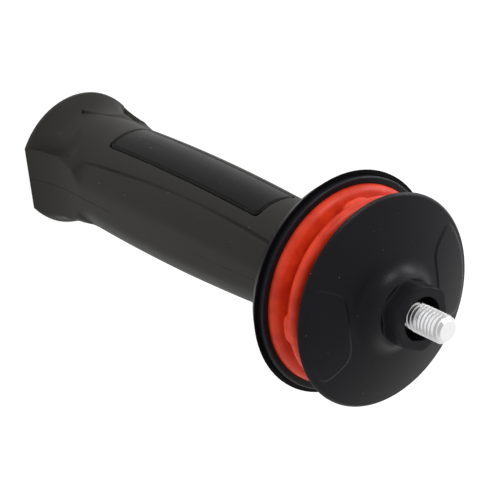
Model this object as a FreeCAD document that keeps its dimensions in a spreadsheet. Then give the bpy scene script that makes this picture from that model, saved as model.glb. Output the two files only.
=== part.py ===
"""A vibration-damped side handle for a hand-held power tool.

The handle stands on the flat rear end of its grip. +Z runs along the threaded stud, which
points up. The flat side panels of the grip face +X and -X, and the pad faces -Y.
All lengths are millimetres and all angles degrees.
"""
import FreeCAD
import Part
import math
import os
import re
import Sketcher
from FreeCAD import Placement, Rotation, Vector

# Driving dimensions: name, value, what it measures.
# Heights are measured up from the rear end, radii from the stud's axis.
SIZES = [
    ("barrel_rear_r", 16.3, "grip radius behind its waist"),
    ("barrel_waist_z", 23.0, "height of the grip's waist"),
    ("barrel_front_r", 14.5, "grip radius where it meets the guard"),
    ("barrel_bow_r", 678.0, "radius of the grip's long bow"),
    ("side_rim_x", 18.6, "half width over the side panels at the rear end"),
    ("side_waist_x", 15.85, "half width over the side panels at the waist"),
    ("side_waist_z", 21.0, "height where the side panels start to spread"),
    ("side_front_x", 14.4, "half width over the side panels at the guard"),
    ("side_bow_r", 1000.0, "radius of the side panels' long bow"),
    ("side_flare_r", 52.0, "radius of the side panels' rear spread"),
    ("flare_arc_r", 21.8, "radius of the flare's top and bottom arcs"),
    ("flare_half_height", 20.2, "flare's half height at the rear end"),
    ("flare_rim_z", 1.3, "thickness of the flare's rim"),
    ("panel_half_height", 10.2, "half height of a side panel on the flare"),
    ("panel_rim_r", 21.2, "panel corner's radius at the flare's rim"),
    ("panel_bow_r", 300.0, "radius of the panel corner's hollow bow"),
    ("web_apex_x", 12.9, "side place where a flare web starts"),
    ("web_apex_y", 10.3, "height on the panel where a flare web starts"),
    ("web_overlap_x", 2.9, "how far a flare web would run past the middle"),
    ("web_hollow_z", 12.5, "height where the webs' hollow backs start"),
    ("web_hollow_y", 16.3, "web's reach at that height"),
    ("crease_top_z", 108.2, "front end of the long crease"),
    ("crease_bottom_z", 23.8, "rear end of the long crease"),
    ("crease_end_y", 10.0, "crease distance from the middle at its ends"),
    ("crease_bow_r", 368.0, "radius of the crease's long bow"),
    ("crease_width", 0.6, "width of the crease"),
    ("crease_depth", 0.4, "depth of the crease"),
    ("pad_half_width", 7.3, "half width of the pad's recess"),
    ("pad_rear_z", 27.4, "rear end of the pad's recess"),
    ("pad_front_z", 94.8, "front end of the pad's recess"),
    ("pad_corner_r", 1.8, "pad corner radius"),
    ("pad_depth", 1.2, "depth of the pad's recess"),
    ("pad_gap", 0.3, "gap round the pad"),
    ("pad_glue", 0.1, "glue line under the pad"),
    ("sleeve_wall", 2.3, "grip sleeve over the core"),
    ("core_middle_step", 1.7, "how far the core's thickest part lies inside the rear grip radius"),
    ("core_middle_z", 58.0, "height where the core is thickest"),
    ("sleeve_end", 1.5, "grip sleeve behind the core"),
    ("sleeve_front_z", 113.6, "front end of the grip sleeve"),
    ("sleeve_gap", 0.1, "gap between sleeve and core"),
    ("end_hole_r", 13.0, "opening in the sleeve's rear end"),
    ("core_flange_r", 15.6, "core's rear flange"),
    ("core_flange_z", 5.0, "top of the core's rear flange"),
    ("core_flange_top_z", 9.0, "where the rear flange runs out"),
    ("cavity_r", 10.5, "core's hollow"),
    ("cavity_top_z", 108.5, "rear face of the core's front wall"),
    ("guard_front_z", 120.7, "guard's front edge"),
    ("guard_edge", 0.3, "thickness of the guard's edge"),
    ("guard_bevel", 0.75, "bevel behind the guard's edge"),
    ("guard_lip", 1.25, "width of the guard's front edge"),
    ("guard_rim", 2.35, "width of the guard's thin rim"),
    ("guard_back_z", 117.2, "height where the guard's back bends"),
    ("guard_neck_r", 15.5, "radius of the guard's flat neck face"),
    ("dish_wall_z", 119.8, "foot of the dish's upright wall"),
    ("dish_chamfer", 1.3, "width of the slope between the dish's wall and floor"),
    ("dish_floor_z", 118.6, "floor of the guard's dish"),
    ("pivot_z", 118.0, "height of the tilting centre"),
    ("ball_r", 9.0, "radius of the swivel bush"),
    ("ball_half", 5.0, "half length of the swivel bush"),
    ("ball_gap", 0.1, "running gap round the swivel bush"),
    ("front_hole_r", 7.2, "hole through the core's front wall"),
    ("post_gap", 1.2, "space between the retainer and the stop posts and dogs"),
    ("post_wall", 3.4, "thickness of the stop posts and dogs"),
    ("post_top_z", 127.0, "top of the stop posts"),
    ("post_half_angle", 20.0, "half angle of a stop post"),
    ("dog_half_angle", 17.0, "half angle of a coupling dog"),
    ("dog_bottom_z", 122.5, "rear end of the coupling dogs"),
    ("ring_gap", 0.1, "gap round the retainer, the bellows ring and the hub"),
    ("retainer_wall", 5.4, "width of the bush retainer"),
    ("retainer_top_z", 122.2, "top of the bush retainer"),
    ("screw_count", 4, "screws in each ring"),
    ("screw_r", 1.1, "screw shank radius"),
    ("screw_head_r", 2.1, "screw head radius"),
    ("screw_head", 1.1, "height of the countersunk head"),
    ("screw_length", 8.0, "screw length"),
    ("screw_gap", 0.05, "gap round the screws"),
    ("plate_screw_ring_r", 12.0, "ring radius of the plate's screws"),
    ("bellows_gap", 0.15, "gap between the bellows and its ring"),
    ("bellows_space", 1.9, "space between the stop posts and the bellows' valley"),
    ("ring_wall", 1.8, "thickness of the bellows ring"),
    ("ring_top_z", 122.5, "bellows ring's front edge"),
    ("ring_round", 0.6, "rounding of the bellows ring's front edge"),
    ("ring_foot", 4.2, "width of the bellows ring's foot inside the bellows"),
    ("ring_foot_z", 120.2, "top of the bellows ring's foot"),
    ("bellows_wall", 1.8, "bellows wall"),
    ("roll_r", 2.6, "radius of the bellows' wide roll"),
    ("roll_z", 122.6, "height of that roll's centre"),
    ("ridge_r", 2.0, "radius of the bellows' narrow ridge"),
    ("roll_step", 0.65, "how far the roll's centre stands outside the ridge's"),
    ("ridge_z", 129.5, "height of the ridge's centre"),
    ("valley_r", 0.9, "radius of the valley's fillet"),
    ("valley_lean", 61.0, "angle from the ridge's centre to the valley's"),
    ("lobe_half_angle", 9.0, "half angle of a valley lobe"),
    ("lobe_r", 26.4, "radius over the valley lobes"),
    ("lobe_bottom_z", 126.0, "lower end of the valley lobes"),
    ("lobe_top_z", 129.0, "upper end of the valley lobes"),
    ("plate_r", 25.2, "coupling plate radius"),
    ("plate_bottom_z", 131.6, "rear face of the coupling plate"),
    ("plate_top_z", 133.4, "front face of the coupling plate"),
    ("disc_r", 30.0, "front disc radius"),
    ("disc_rear_z", 136.0, "rear edge of the front disc's rim"),
    ("disc_edge", 0.2, "height of the rim's straight edge"),
    ("disc_edge_round", 0.1, "bevel on the rim's rear edge"),
    ("disc_bevel", 0.75, "bevel on the rim's front edge"),
    ("dome_r", 89.5, "radius of the disc's dome"),
    ("boss_fillet_r", 6.0, "fillet between dome and boss"),
    ("boss_ledge", 0.15, "where the fillet ends outside the boss's flats"),
    ("boss_flats", 17.0, "boss size across its flats"),
    ("boss_corner_r", 4.0, "rounding of the boss's corners"),
    ("boss_top_z", 151.3, "front face of the boss"),
    ("well_r", 6.2, "radius of the well round the stud"),
    ("hub_r", 9.0, "radius of the disc's rear hub"),
    ("hub_bottom_z", 131.4, "rear face of the disc's hub"),
    ("hub_block_r", 14.5, "radius of the disc's solid middle"),
    ("disc_overhang", 3.4, "how far the rim stands out past the wall behind the disc"),
    ("skirt_wall", 1.7, "thickness of the wall behind the disc"),
    ("disc_wall", 2.6, "wall of the disc between its ribs"),
    ("disc_rib_count", 8, "ribs behind the disc"),
    ("disc_rib_angle", 7.0, "angle that a rib takes"),
    ("field_x", 15.9, "inner edge of the disc's side fields"),
    ("field_rim", 2.0, "width of the disc's rim outside those fields"),
    ("field_spread", 31.0, "half angle of the side fields"),
    ("field_corner_r", 2.5, "rounding of the side fields' corners"),
    ("field_depth", 0.35, "depth of the disc's side fields"),
    ("stud_r", 4.0, "stud thread's outer radius"),
    ("stud_tip_z", 160.9, "stud's tip"),
    ("stud_chamfer", 1.2, "chamfer on the stud's tip"),
    ("collar_flats", 13.0, "stud collar across its flats"),
    ("collar_top_z", 143.3, "front face of the stud's collar"),
    ("collar_bottom_z", 137.3, "rear face of the stud's collar"),
    ("shank_r", 3.0, "radius of the stud's rear shank"),
    ("shank_end_z", 96.4, "rear end of the stud"),
    ("spacer_r", 5.0, "spacer sleeve's outer radius"),
    ("shank_gap", 0.05, "gap round the stud's shank"),
    ("bore_flare", 0.4, "how much the swivel bush's bore opens"),
    ("washer_top_z", 105.5, "front face of the stop washer"),
    ("buffer_r", 9.6, "buffer ring's outer radius"),
    ("buffer_hole_r", 5.9, "buffer ring's hole"),
    ("washer_r", 8.6, "stop washer's radius"),
    ("washer_thick", 1.6, "stop washer's thickness"),
    ("nut_flats", 10.0, "lock nut across its flats"),
    ("nut_height", 6.0, "lock nut's height"),
    ("nut_ring_r", 4.1, "outer radius of the nut's locking ring"),
    ("nut_ring_gap", 0.05, "gap round the nut's locking ring"),
    ("nut_ring_height", 2.0, "height of the nut's locking ring"),
    ("cap_gap", 0.2, "gap round the end cap's head"),
    ("cap_recess", 0.3, "end cap's depth inside the rear end"),
    ("cap_wall", 1.5, "end cap's wall"),
    ("cap_length", 8.0, "end cap's height into the hollow"),
    ("cap_bead_z", 5.0, "height of the cap's snap bead"),
    ("cap_bead", 0.3, "how far the snap bead stands out"),
]

doc = FreeCAD.newDocument("SideHandle")
sheet = doc.addObject("Spreadsheet::Sheet", "Sizes")
for row, (size_name, size_value, size_note) in enumerate(SIZES, start=1):
    sheet.set("A%d" % row, size_note)
    sheet.set("B%d" % row, str(size_value))
    sheet.setAlias("B%d" % row, size_name)
doc.recompute()

NAMES = re.compile(r"\b(%s)\b" % "|".join(sorted((size[0] for size in SIZES), key=len, reverse=True)))


# Radii of the damped joint, each built up from the one inside it, out to the guard's edge.
RETAINER_R = "(ball_r + retainer_wall)"
POST_IN_R = "(%s + post_gap)" % RETAINER_R
POST_OUT_R = "(%s + post_wall)" % POST_IN_R
VALLEY_RING = "(%s + bellows_space + bellows_wall + valley_r)" % POST_OUT_R
RIDGE_RING = "(%s + (ridge_r + valley_r) * cos(valley_lean))" % VALLEY_RING
ROLL_RING = "(%s + roll_step)" % RIDGE_RING
BELLOWS_R = "(%s + roll_r)" % ROLL_RING
RING_IN_R = "(%s + bellows_gap)" % BELLOWS_R
RING_OUT_R = "(%s + ring_wall)" % RING_IN_R
DISH_R = "(%s + ring_gap)" % RING_OUT_R
GUARD_R = "(%s + guard_lip)" % DISH_R
SKIRT_R = "(disc_r - disc_overhang)"
SIXTH_TURN = 360 // 6

# A flare web is lofted through this many steps, closer together near the rim, and its hollow
# back falls away from the rim with this power of the distance.
WEB_STEPS = 5
WEB_CROWDING = 1.5
WEB_HOLLOW = 3


def number(text):
    """The value of a formula of named sizes."""
    return float(sheet.evalExpression(text))


def bound(text):
    """The same formula, as other objects of the document read it."""
    return NAMES.sub(r"Sizes.\1", text)


# Sketches, features and booleans


class Outline:
    """A closed run of straight lines and arcs whose corners are formulas of named sizes."""

    def __init__(self, across, up):
        self.corners = [(across, up)]
        self.bends = []

    def line(self, across, up):
        """A straight side to the next corner."""
        self.corners.append((across, up))
        self.bends.append(None)
        return self

    def arc(self, across, up, radius, turn, large=False):
        """An arc to the next corner: turn is 1 to the left and -1 to the right."""
        self.corners.append((across, up))
        self.bends.append((radius, turn, large))
        return self

    def close(self, radius=None, turn=1):
        """The last side, back to the first corner."""
        self.bends.append(None if radius is None else (radius, turn, False))
        return self

    def draw(self, sketch):
        """Adds the sides to a sketch and holds each corner by its formulas."""
        count = len(self.corners)
        ends = []
        for index in range(count):
            start = Vector(number(self.corners[index][0]), number(self.corners[index][1]), 0)
            following = self.corners[(index + 1) % count]
            end = Vector(number(following[0]), number(following[1]), 0)
            if self.bends[index] is None:
                side = sketch.addGeometry(Part.LineSegment(start, end), False)
                ends.append((side, 1, 2))
                continue
            radius, turn, large = self.bends[index]
            side = sketch.addGeometry(arc_between(start, end, number(radius), turn, large), False)
            ends.append((side, 1, 2) if turn > 0 else (side, 2, 1))
            held = sketch.addConstraint(Sketcher.Constraint("Radius", side, number(radius)))
            sketch.setExpression("Constraints[%d]" % held, bound(radius))
        for index in range(count):
            side, start_point, _ = ends[index]
            before, _, end_point = ends[index - 1]
            sketch.addConstraint(Sketcher.Constraint("Coincident", before, end_point, side, start_point))
            hold_point(sketch, side, start_point, *self.corners[index])


def arc_between(start, end, radius, turn, large):
    """The arc of that radius from start to end, turning left (1) or right (-1)."""
    chord = end - start
    rise = math.sqrt(radius * radius - chord.Length * chord.Length / 4)
    left = Vector(-chord.y, chord.x, 0).normalize()
    centre = (start + end) * 0.5 + left * (rise * turn * (-1 if large else 1))
    first, last = (start, end) if turn > 0 else (end, start)
    angles = [math.atan2(point.y - centre.y, point.x - centre.x) for point in (first, last)]
    return Part.ArcOfCircle(Part.Circle(centre, Vector(0, 0, 1), radius), angles[0], angles[1])


def hold_point(sketch, side, point, across, up):
    """Holds a point at its two formulas, measured from the sketch's origin."""
    for kind, formula, axis in (("DistanceX", across, -2), ("DistanceY", up, -1)):
        if formula == "0":
            sketch.addConstraint(Sketcher.Constraint("PointOnObject", side, point, axis))
            continue
        value = number(formula)
        if value < 0:
            constraint = Sketcher.Constraint(kind, side, point, -1, 1, -value)
            formula = "-(%s)" % formula
        else:
            constraint = Sketcher.Constraint(kind, -1, 1, side, point, value)
        held = sketch.addConstraint(constraint)
        sketch.setExpression("Constraints[%d]" % held, bound(formula))


def new_body(name):
    body = doc.addObject("PartDesign::Body", name)
    body.Label = name
    return body


def origin_feature(body, role):
    return next(feature for feature in body.Origin.OriginFeatures if feature.Role == role)


def sketch_on(body, role, name, outlines=(), height=None):
    """A sketch on one of the body's own planes, moved along its normal by a formula."""
    sketch = body.newObject("Sketcher::SketchObject", name)
    sketch.AttachmentSupport = (origin_feature(body, role), [""])
    sketch.MapMode = "FlatFace"
    if height is not None:
        sketch.setExpression("AttachmentOffset.Base.z", bound(height))
    for outline in outlines:
        outline.draw(sketch)
    return sketch


def circle_in(sketch, radius, across="0", up="0"):
    """A circle held by the formulas of its radius and centre."""
    centre = Vector(number(across), number(up), 0)
    ring = sketch.addGeometry(Part.Circle(centre, Vector(0, 0, 1), number(radius)), False)
    held = sketch.addConstraint(Sketcher.Constraint("Radius", ring, number(radius)))
    sketch.setExpression("Constraints[%d]" % held, bound(radius))
    if across == "0" and up == "0":
        sketch.addConstraint(Sketcher.Constraint("Coincident", ring, 3, -1, 1))
    else:
        hold_point(sketch, ring, 3, across, up)


def revolve(body, sketch, name, feature="PartDesign::Revolution", angle=None):
    """Turns a sketch on the XZ plane about the handle's axis."""
    turned = body.newObject(feature, name)
    turned.Profile = sketch
    turned.ReferenceAxis = (sketch, ["V_Axis"])
    turned.Angle = 360
    if angle is not None:
        turned.setExpression("Angle", bound(angle))
        turned.Midplane = True
    return turned


def pad(body, sketch, name, length, both_ways=False, reverse=False):
    raised = body.newObject("PartDesign::Pad", name)
    raised.Profile = sketch
    raised.setExpression("Length", bound(length))
    raised.Midplane = both_ways
    raised.Reversed = reverse
    return raised


def pocket(body, sketch, name, length, reverse=False):
    sunk = body.newObject("PartDesign::Pocket", name)
    sunk.Profile = sketch
    sunk.setExpression("Length", bound(length))
    sunk.Reversed = reverse
    return sunk


def repeat_round(body, feature, name, count):
    """Repeats a feature evenly about the handle's axis."""
    pattern = body.newObject("PartDesign::PolarPattern", name)
    pattern.Originals = [feature]
    pattern.Axis = (origin_feature(body, "Z_Axis"), [""])
    pattern.Angle = 360
    pattern.setExpression("Occurrences", bound(count))
    body.Tip = pattern
    return pattern


def turned_body(name, outline):
    """A body made by turning one outline about the handle's axis."""
    body = new_body(name)
    revolve(body, sketch_on(body, "XZ_Plane", name + "_profile", [outline]), name + "_turned")
    return body


def joined(name, shapes):
    fusion = doc.addObject("Part::MultiFuse", name)
    fusion.Shapes = shapes
    return fusion


def shared(name, shapes):
    overlap = doc.addObject("Part::MultiCommon", name)
    overlap.Shapes = shapes
    return overlap


def less(name, base, tool):
    difference = doc.addObject("Part::Cut", name)
    difference.Base = base
    difference.Tool = tool
    return difference


def mirrored(name, source, normal):
    copy = doc.addObject("Part::Mirroring", name)
    copy.Source = source
    copy.Normal = normal
    return copy


def hexagon(half_flats, corner_r):
    """A hexagon outline with rounded corners and flats that face +X and -X."""
    outline = None
    for side in range(6):
        turn = SIXTH_TURN * side
        for way in (-1, 1):
            reach = "%d * (%s - %s) * tan(%d)" % (way, half_flats, corner_r, SIXTH_TURN // 2)
            across = "(%s) * cos(%d) - (%s) * sin(%d)" % (half_flats, turn, reach, turn)
            up = "(%s) * sin(%d) + (%s) * cos(%d)" % (half_flats, turn, reach, turn)
            if outline is None:
                outline = Outline(across, up)
            elif way == 1:
                outline.line(across, up)
            else:
                outline.arc(across, up, corner_r, 1)
    return outline.close(corner_r, 1)


def plain_hexagon(half_flats):
    """A sharp hexagon outline with flats that face +X and -X."""
    corners = []
    for corner in range(6):
        turn = SIXTH_TURN * corner - SIXTH_TURN // 2
        reach = "(%s) / cos(%d)" % (half_flats, SIXTH_TURN // 2)
        across = "0" if abs(math.cos(math.radians(turn))) < 1e-9 else "%s * cos(%d)" % (reach, turn)
        corners.append((across, "%s * sin(%d)" % (reach, turn)))
    outline = Outline(*corners[0])
    for across, up in corners[1:]:
        outline.line(across, up)
    return outline.close()


def polar(radius, angle):
    """The two formulas of the point at that radius and angle."""
    return "(%s) * cos(%s)" % (radius, angle), "(%s) * sin(%s)" % (radius, angle)


def ring_sector(inner_r, outer_r, half_angle, middle):
    """A sector of a ring, centred on the middle angle."""
    low = "(%d - %s)" % (middle, half_angle)
    high = "(%d + %s)" % (middle, half_angle)
    outline = Outline(*polar(inner_r, low))
    outline.line(*polar(outer_r, low))
    outline.arc(*polar(outer_r, high), outer_r, 1)
    outline.line(*polar(inner_r, high))
    return outline.close(inner_r, -1)


# The outer form of the grip


def barrel(name, inset):
    """The round grip with its long bow, from the rear end to the guard, inset all round."""
    outline = Outline("0", "0")
    outline.line("barrel_rear_r - (%s)" % inset, "0")
    outline.line("barrel_rear_r - (%s)" % inset, "barrel_waist_z")
    outline.arc("barrel_front_r - (%s)" % inset, "sleeve_front_z", "barrel_bow_r", 1)
    outline.line("0", "sleeve_front_z")
    return turned_body(name, outline.close())


def sides(name, inset):
    """Everything between the two side panels, as seen from above the pad."""
    outline = Outline("side_rim_x - (%s)" % inset, "0")
    outline.arc("side_waist_x - (%s)" % inset, "side_waist_z", "side_flare_r", -1)
    outline.arc("side_front_x - (%s)" % inset, "sleeve_front_z", "side_bow_r", 1)
    outline.line("-(side_front_x - (%s))" % inset, "sleeve_front_z")
    outline.arc("-(side_waist_x - (%s))" % inset, "side_waist_z", "side_bow_r", 1)
    outline.arc("-(side_rim_x - (%s))" % inset, "0", "side_flare_r", -1)
    body = new_body(name)
    sketch = sketch_on(body, "XZ_Plane", name + "_plan", [outline.close()])
    pad(body, sketch, name + "_block", "4 * flare_half_height", both_ways=True)
    return body


def flare_rim():
    """The flare's rim: a lens of two arcs, which the side panels cut flat."""
    offset = "(flare_arc_r - flare_half_height)"
    tip = "sqrt(flare_arc_r * flare_arc_r - %s * %s)" % (offset, offset)
    outline = Outline(tip, "0")
    outline.arc("-(%s)" % tip, "0", "flare_arc_r", 1)
    outline.close("flare_arc_r", 1)
    body = new_body("flare_rim")
    sketch = sketch_on(body, "XY_Plane", "flare_rim_outline", [outline])
    pad(body, sketch, "flare_rim_block", "flare_rim_z")
    return body


def side_panels():
    """The flat side panels where they stand out of the flare."""
    envelope = Outline("0", "0")
    envelope.line("panel_rim_r", "0")
    envelope.line("panel_rim_r", "flare_rim_z")
    envelope.arc("barrel_rear_r", "barrel_waist_z", "panel_bow_r", -1)
    envelope.line("0", "barrel_waist_z")
    turned = turned_body("panel_envelope", envelope.close())
    strip = Outline("panel_half_height", "0")
    strip.line("panel_half_height", "barrel_waist_z")
    strip.line("-panel_half_height", "barrel_waist_z")
    strip.line("-panel_half_height", "0")
    band = new_body("panel_band")
    sketch = sketch_on(band, "YZ_Plane", "panel_band_side", [strip.close()])
    pad(band, sketch, "panel_band_block", "4 * panel_rim_r", both_ways=True)
    return shared("side_panels", [turned, band])


def web_section(share):
    """A web's outline part of the way from the rim up to where its hollow back starts."""
    apex = Vector(number("web_apex_x"), number("web_apex_y"), number("barrel_waist_z"))
    rim_z = number("flare_rim_z")
    level = share ** WEB_CROWDING
    height = rim_z + (number("web_hollow_z") - rim_z) * level
    climb = (height - rim_z) / (apex.z - rim_z)
    top = number("web_hollow_y")
    top += (number("flare_half_height") - top) * (1 - level) ** WEB_HOLLOW
    low_y = number("panel_half_height")
    lens_y = low_y + number("flare_arc_r - flare_half_height")
    rim_x = math.sqrt(number("flare_arc_r") ** 2 - lens_y ** 2)
    near = Vector(rim_x + (apex.x - rim_x) * climb, low_y + (apex.y - low_y) * climb, height)
    far_x = -number("web_overlap_x") * (1 - climb) + apex.x * climb
    centre_y = (near.x ** 2 + near.y ** 2 - top ** 2) / (2 * (near.y - top))
    radius = top - centre_y
    middle, far = [
        Vector(across, centre_y + math.sqrt(radius ** 2 - across ** 2), height)
        for across in ((near.x + far_x) / 2, far_x)
    ]
    inner = [Vector(far_x, 0, height), Vector(near.x, 0, height)]
    return Part.Wire([
        Part.Arc(near, middle, far).toShape(),
        Part.makeLine(far, inner[0]),
        Part.makeLine(inner[0], inner[1]),
        Part.makeLine(inner[1], near),
    ])


def flare_webs():
    """Four webs with hollow backs that fan out from the waist's corners to the flare's rim."""
    apex = Vector(number("web_apex_x"), number("web_apex_y"), number("barrel_waist_z"))
    sections = [web_section(step / WEB_STEPS) for step in range(WEB_STEPS + 1)]
    whole = doc.addObject("Part::Feature", "flare_web_whole")
    whole.Shape = Part.makeLoft(sections + [Part.Vertex(apex)], True, True)
    half = doc.addObject("Part::Box", "flare_half")
    half.setExpression("Length", bound("2 * side_rim_x"))
    half.setExpression("Width", bound("2 * flare_half_height"))
    half.setExpression("Height", bound("barrel_waist_z"))
    web = shared("flare_web", [whole, half])
    across = mirrored("flare_web_across", web, Vector(1, 0, 0))
    below = mirrored("flare_web_below", web, Vector(0, 1, 0))
    opposite = mirrored("flare_web_opposite", across, Vector(0, 1, 0))
    return [web, across, below, opposite]


def grip_form():
    """The whole outside of the grip, solid."""
    uncut = joined("grip_uncut", [barrel("barrel", "0"), flare_rim(), side_panels()] + flare_webs())
    return shared("grip_form", [uncut, sides("sides", "0")])


def skin_below(name, depth):
    """The long part of the grip, set in by a depth: cuts down to it have an even depth."""
    return shared(name, [barrel(name + "_barrel", depth), sides(name + "_sides", depth)])


def crease_cutters():
    """Two bands on the side view that follow the edges of the side panels."""
    near = Outline("crease_end_y", "crease_bottom_z")
    near.line("crease_end_y + crease_width", "crease_bottom_z")
    near.arc("crease_end_y + crease_width", "crease_top_z", "crease_bow_r", 1)
    near.line("crease_end_y", "crease_top_z")
    band = new_body("crease_band")
    sketch = sketch_on(band, "YZ_Plane", "crease_band_side", [near.close("crease_bow_r", -1)])
    pad(band, sketch, "crease_band_block", "4 * barrel_rear_r", both_ways=True)
    across = mirrored("crease_band_across", band, Vector(0, 1, 0))
    bands = joined("crease_bands", [band, across])
    return less("crease_cutters", bands, skin_below("crease_floor", "crease_depth"))


def pad_outline(inset):
    """The pad's rounded rectangle, seen from the pad's side."""
    half = "(pad_half_width - %s)" % inset
    low = "(pad_rear_z + %s)" % inset
    high = "(pad_front_z - %s)" % inset
    corner = "pad_corner_r"
    outline = Outline("%s - %s" % (half, corner), low)
    outline.arc(half, "%s + %s" % (low, corner), corner, 1)
    outline.line(half, "%s - %s" % (high, corner))
    outline.arc("%s - %s" % (half, corner), high, corner, 1)
    outline.line("-(%s - %s)" % (half, corner), high)
    outline.arc("-%s" % half, "%s - %s" % (high, corner), corner, 1)
    outline.line("-%s" % half, "%s + %s" % (low, corner))
    outline.arc("-(%s - %s)" % (half, corner), low, corner, 1)
    return outline.close()


def pad_prism(name, inset):
    """A prism through the grip's pad side only."""
    body = new_body(name)
    sketch = sketch_on(body, "XZ_Plane", name + "_outline", [pad_outline(inset)])
    pad(body, sketch, name + "_block", "2 * barrel_rear_r")
    return body


# The pieces of the grip


def core_outer(outline, gap):
    """The core's outside under the sleeve with a gap round it, up from its rear flange."""
    outline.line("core_flange_r + %s" % gap, "core_flange_z")
    outline.line("barrel_rear_r - sleeve_wall + %s" % gap, "core_flange_top_z")
    outline.line("barrel_rear_r - sleeve_wall + %s" % gap, "barrel_waist_z")
    outline.line("barrel_rear_r - core_middle_step + %s" % gap, "core_middle_z")
    outline.line("barrel_front_r - sleeve_wall + %s" % gap, "sleeve_front_z")
    return outline


def core_blank():
    """What the sleeve is moulded over: the core, filled, and the rear opening."""
    outline = Outline("0", "0")
    outline.line("end_hole_r", "0")
    outline.line("end_hole_r", "sleeve_end")
    outline.line("core_flange_r + sleeve_gap", "sleeve_end")
    core_outer(outline, "sleeve_gap").line("0", "sleeve_front_z")
    return turned_body("core_blank", outline.close())


def screw_group(name, ring_r, head_z, way, gap):
    """Countersunk screws on a ring, widened by a gap: way is 1 for tips up, -1 for tips down."""
    screws = []
    for index in range(int(number("screw_count"))):
        turn = "(45 + 360 / screw_count * %d)" % index
        head = doc.addObject("Part::Cone", "%s_head_%d" % (name, index + 1))
        shank = doc.addObject("Part::Cylinder", "%s_shank_%d" % (name, index + 1))
        head.setExpression("Radius1", bound("screw_head_r + %s" % gap))
        head.setExpression("Radius2", bound("screw_r + %s" % gap))
        head.setExpression("Height", bound("screw_head"))
        shank.setExpression("Radius", bound("screw_r + %s" % gap))
        shank.setExpression("Height", bound("screw_length"))
        for piece in (head, shank):
            piece.Placement = Placement(Vector(), Rotation(Vector(1, 0, 0), 0 if way == 1 else 180))
            piece.setExpression("Placement.Base.x", bound("%s * cos(%s)" % (ring_r, turn)))
            piece.setExpression("Placement.Base.y", bound("%s * sin(%s)" % (ring_r, turn)))
            piece.setExpression("Placement.Base.z", bound(head_z))
        screws.append(joined("%s_%d" % (name, index + 1), [head, shank]))
    group = doc.addObject("Part::Compound", name)
    group.Links = screws
    return group


def grip_core(screw_holes):
    """The hard inner tube with the guard's dish, the bush seat and the stop posts."""
    outline = Outline("cavity_r", "sleeve_end")
    outline.line("core_flange_r", "sleeve_end")
    core_outer(outline, "0")
    outline.line("guard_neck_r", "sleeve_front_z")
    outline.line("%s - guard_rim" % GUARD_R, "guard_back_z")
    outline.line("%s - guard_bevel" % GUARD_R, "guard_front_z - guard_edge - guard_bevel")
    outline.line(GUARD_R, "guard_front_z - guard_edge")
    outline.line(GUARD_R, "guard_front_z")
    outline.line(DISH_R, "guard_front_z")
    outline.line(DISH_R, "dish_wall_z")
    outline.line("%s - dish_chamfer" % DISH_R, "dish_floor_z")
    outline.line("%s + ring_gap" % RETAINER_R, "dish_floor_z")
    outline.line("%s + ring_gap" % RETAINER_R, "pivot_z")
    outline.line("ball_r + ball_gap", "pivot_z")
    seat_r = "(ball_r + ball_gap)"
    seat_low = "(pivot_z - sqrt(%s * %s - front_hole_r * front_hole_r))" % (seat_r, seat_r)
    outline.arc("front_hole_r", seat_low, seat_r, -1)
    outline.line("front_hole_r", "cavity_top_z")
    outline.line("cavity_r", "cavity_top_z")
    body = turned_body("core_body", outline.close())
    posts = [
        ring_sector(POST_IN_R, POST_OUT_R, "post_half_angle", 45 + 90 * quarter)
        for quarter in range(4)
    ]
    sketch = sketch_on(body, "XY_Plane", "stop_post_plan", posts, height="dish_floor_z")
    pad(body, sketch, "stop_posts", "post_top_z - dish_floor_z")
    groove = Outline("cavity_r - cap_bead", "cap_bead_z - 2 * cap_bead")
    groove.line("cavity_r", "cap_bead_z - 2 * cap_bead")
    groove.line("cavity_r + 1.5 * cap_bead", "cap_bead_z - cap_bead")
    groove.line("cavity_r + 1.5 * cap_bead", "cap_bead_z + cap_bead")
    groove.line("cavity_r", "cap_bead_z + 2 * cap_bead")
    groove.line("cavity_r - cap_bead", "cap_bead_z + 2 * cap_bead")
    groove_sketch = sketch_on(body, "XZ_Plane", "snap_groove_profile", [groove.close()])
    revolve(body, groove_sketch, "snap_groove", "PartDesign::Groove")
    return less("grip_core", body, screw_holes)


def grip_sleeve(form):
    """The soft outer skin, moulded over the core, with the pad's recess and the creases."""
    hollow = less("sleeve_hollow", form, core_blank())
    recess = less("pad_recess", pad_prism("pad_opening", "0"), skin_below("pad_floor", "pad_depth"))
    return less("grip_sleeve", less("sleeve_recessed", hollow, recess), crease_cutters())


def top_inlay():
    """The smooth pad let into the top of the sleeve."""
    skin = skin_below("inlay_skin", "0")
    slab = shared("inlay_slab", [pad_prism("inlay_outline", "pad_gap"), skin])
    return less("top_inlay", slab, skin_below("inlay_floor", "pad_depth - pad_glue"))


def end_cap():
    """The plug that closes the hollow grip from behind."""
    head_r = "end_hole_r - cap_gap"
    outline = Outline("0", "cap_recess")
    outline.line(head_r, "cap_recess")
    outline.line(head_r, "sleeve_end")
    outline.line("cavity_r - cap_gap", "sleeve_end")
    outline.line("cavity_r - cap_gap", "cap_bead_z - cap_bead")
    outline.line("cavity_r + cap_bead", "cap_bead_z")
    outline.line("cavity_r - cap_gap", "cap_bead_z + cap_bead")
    outline.line("cavity_r - cap_gap", "cap_length")
    outline.line("cavity_r - cap_wall", "cap_length")
    outline.line("cavity_r - cap_wall", "cap_recess + cap_wall")
    outline.line("0", "cap_recess + cap_wall")
    return turned_body("end_cap", outline.close())


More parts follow.
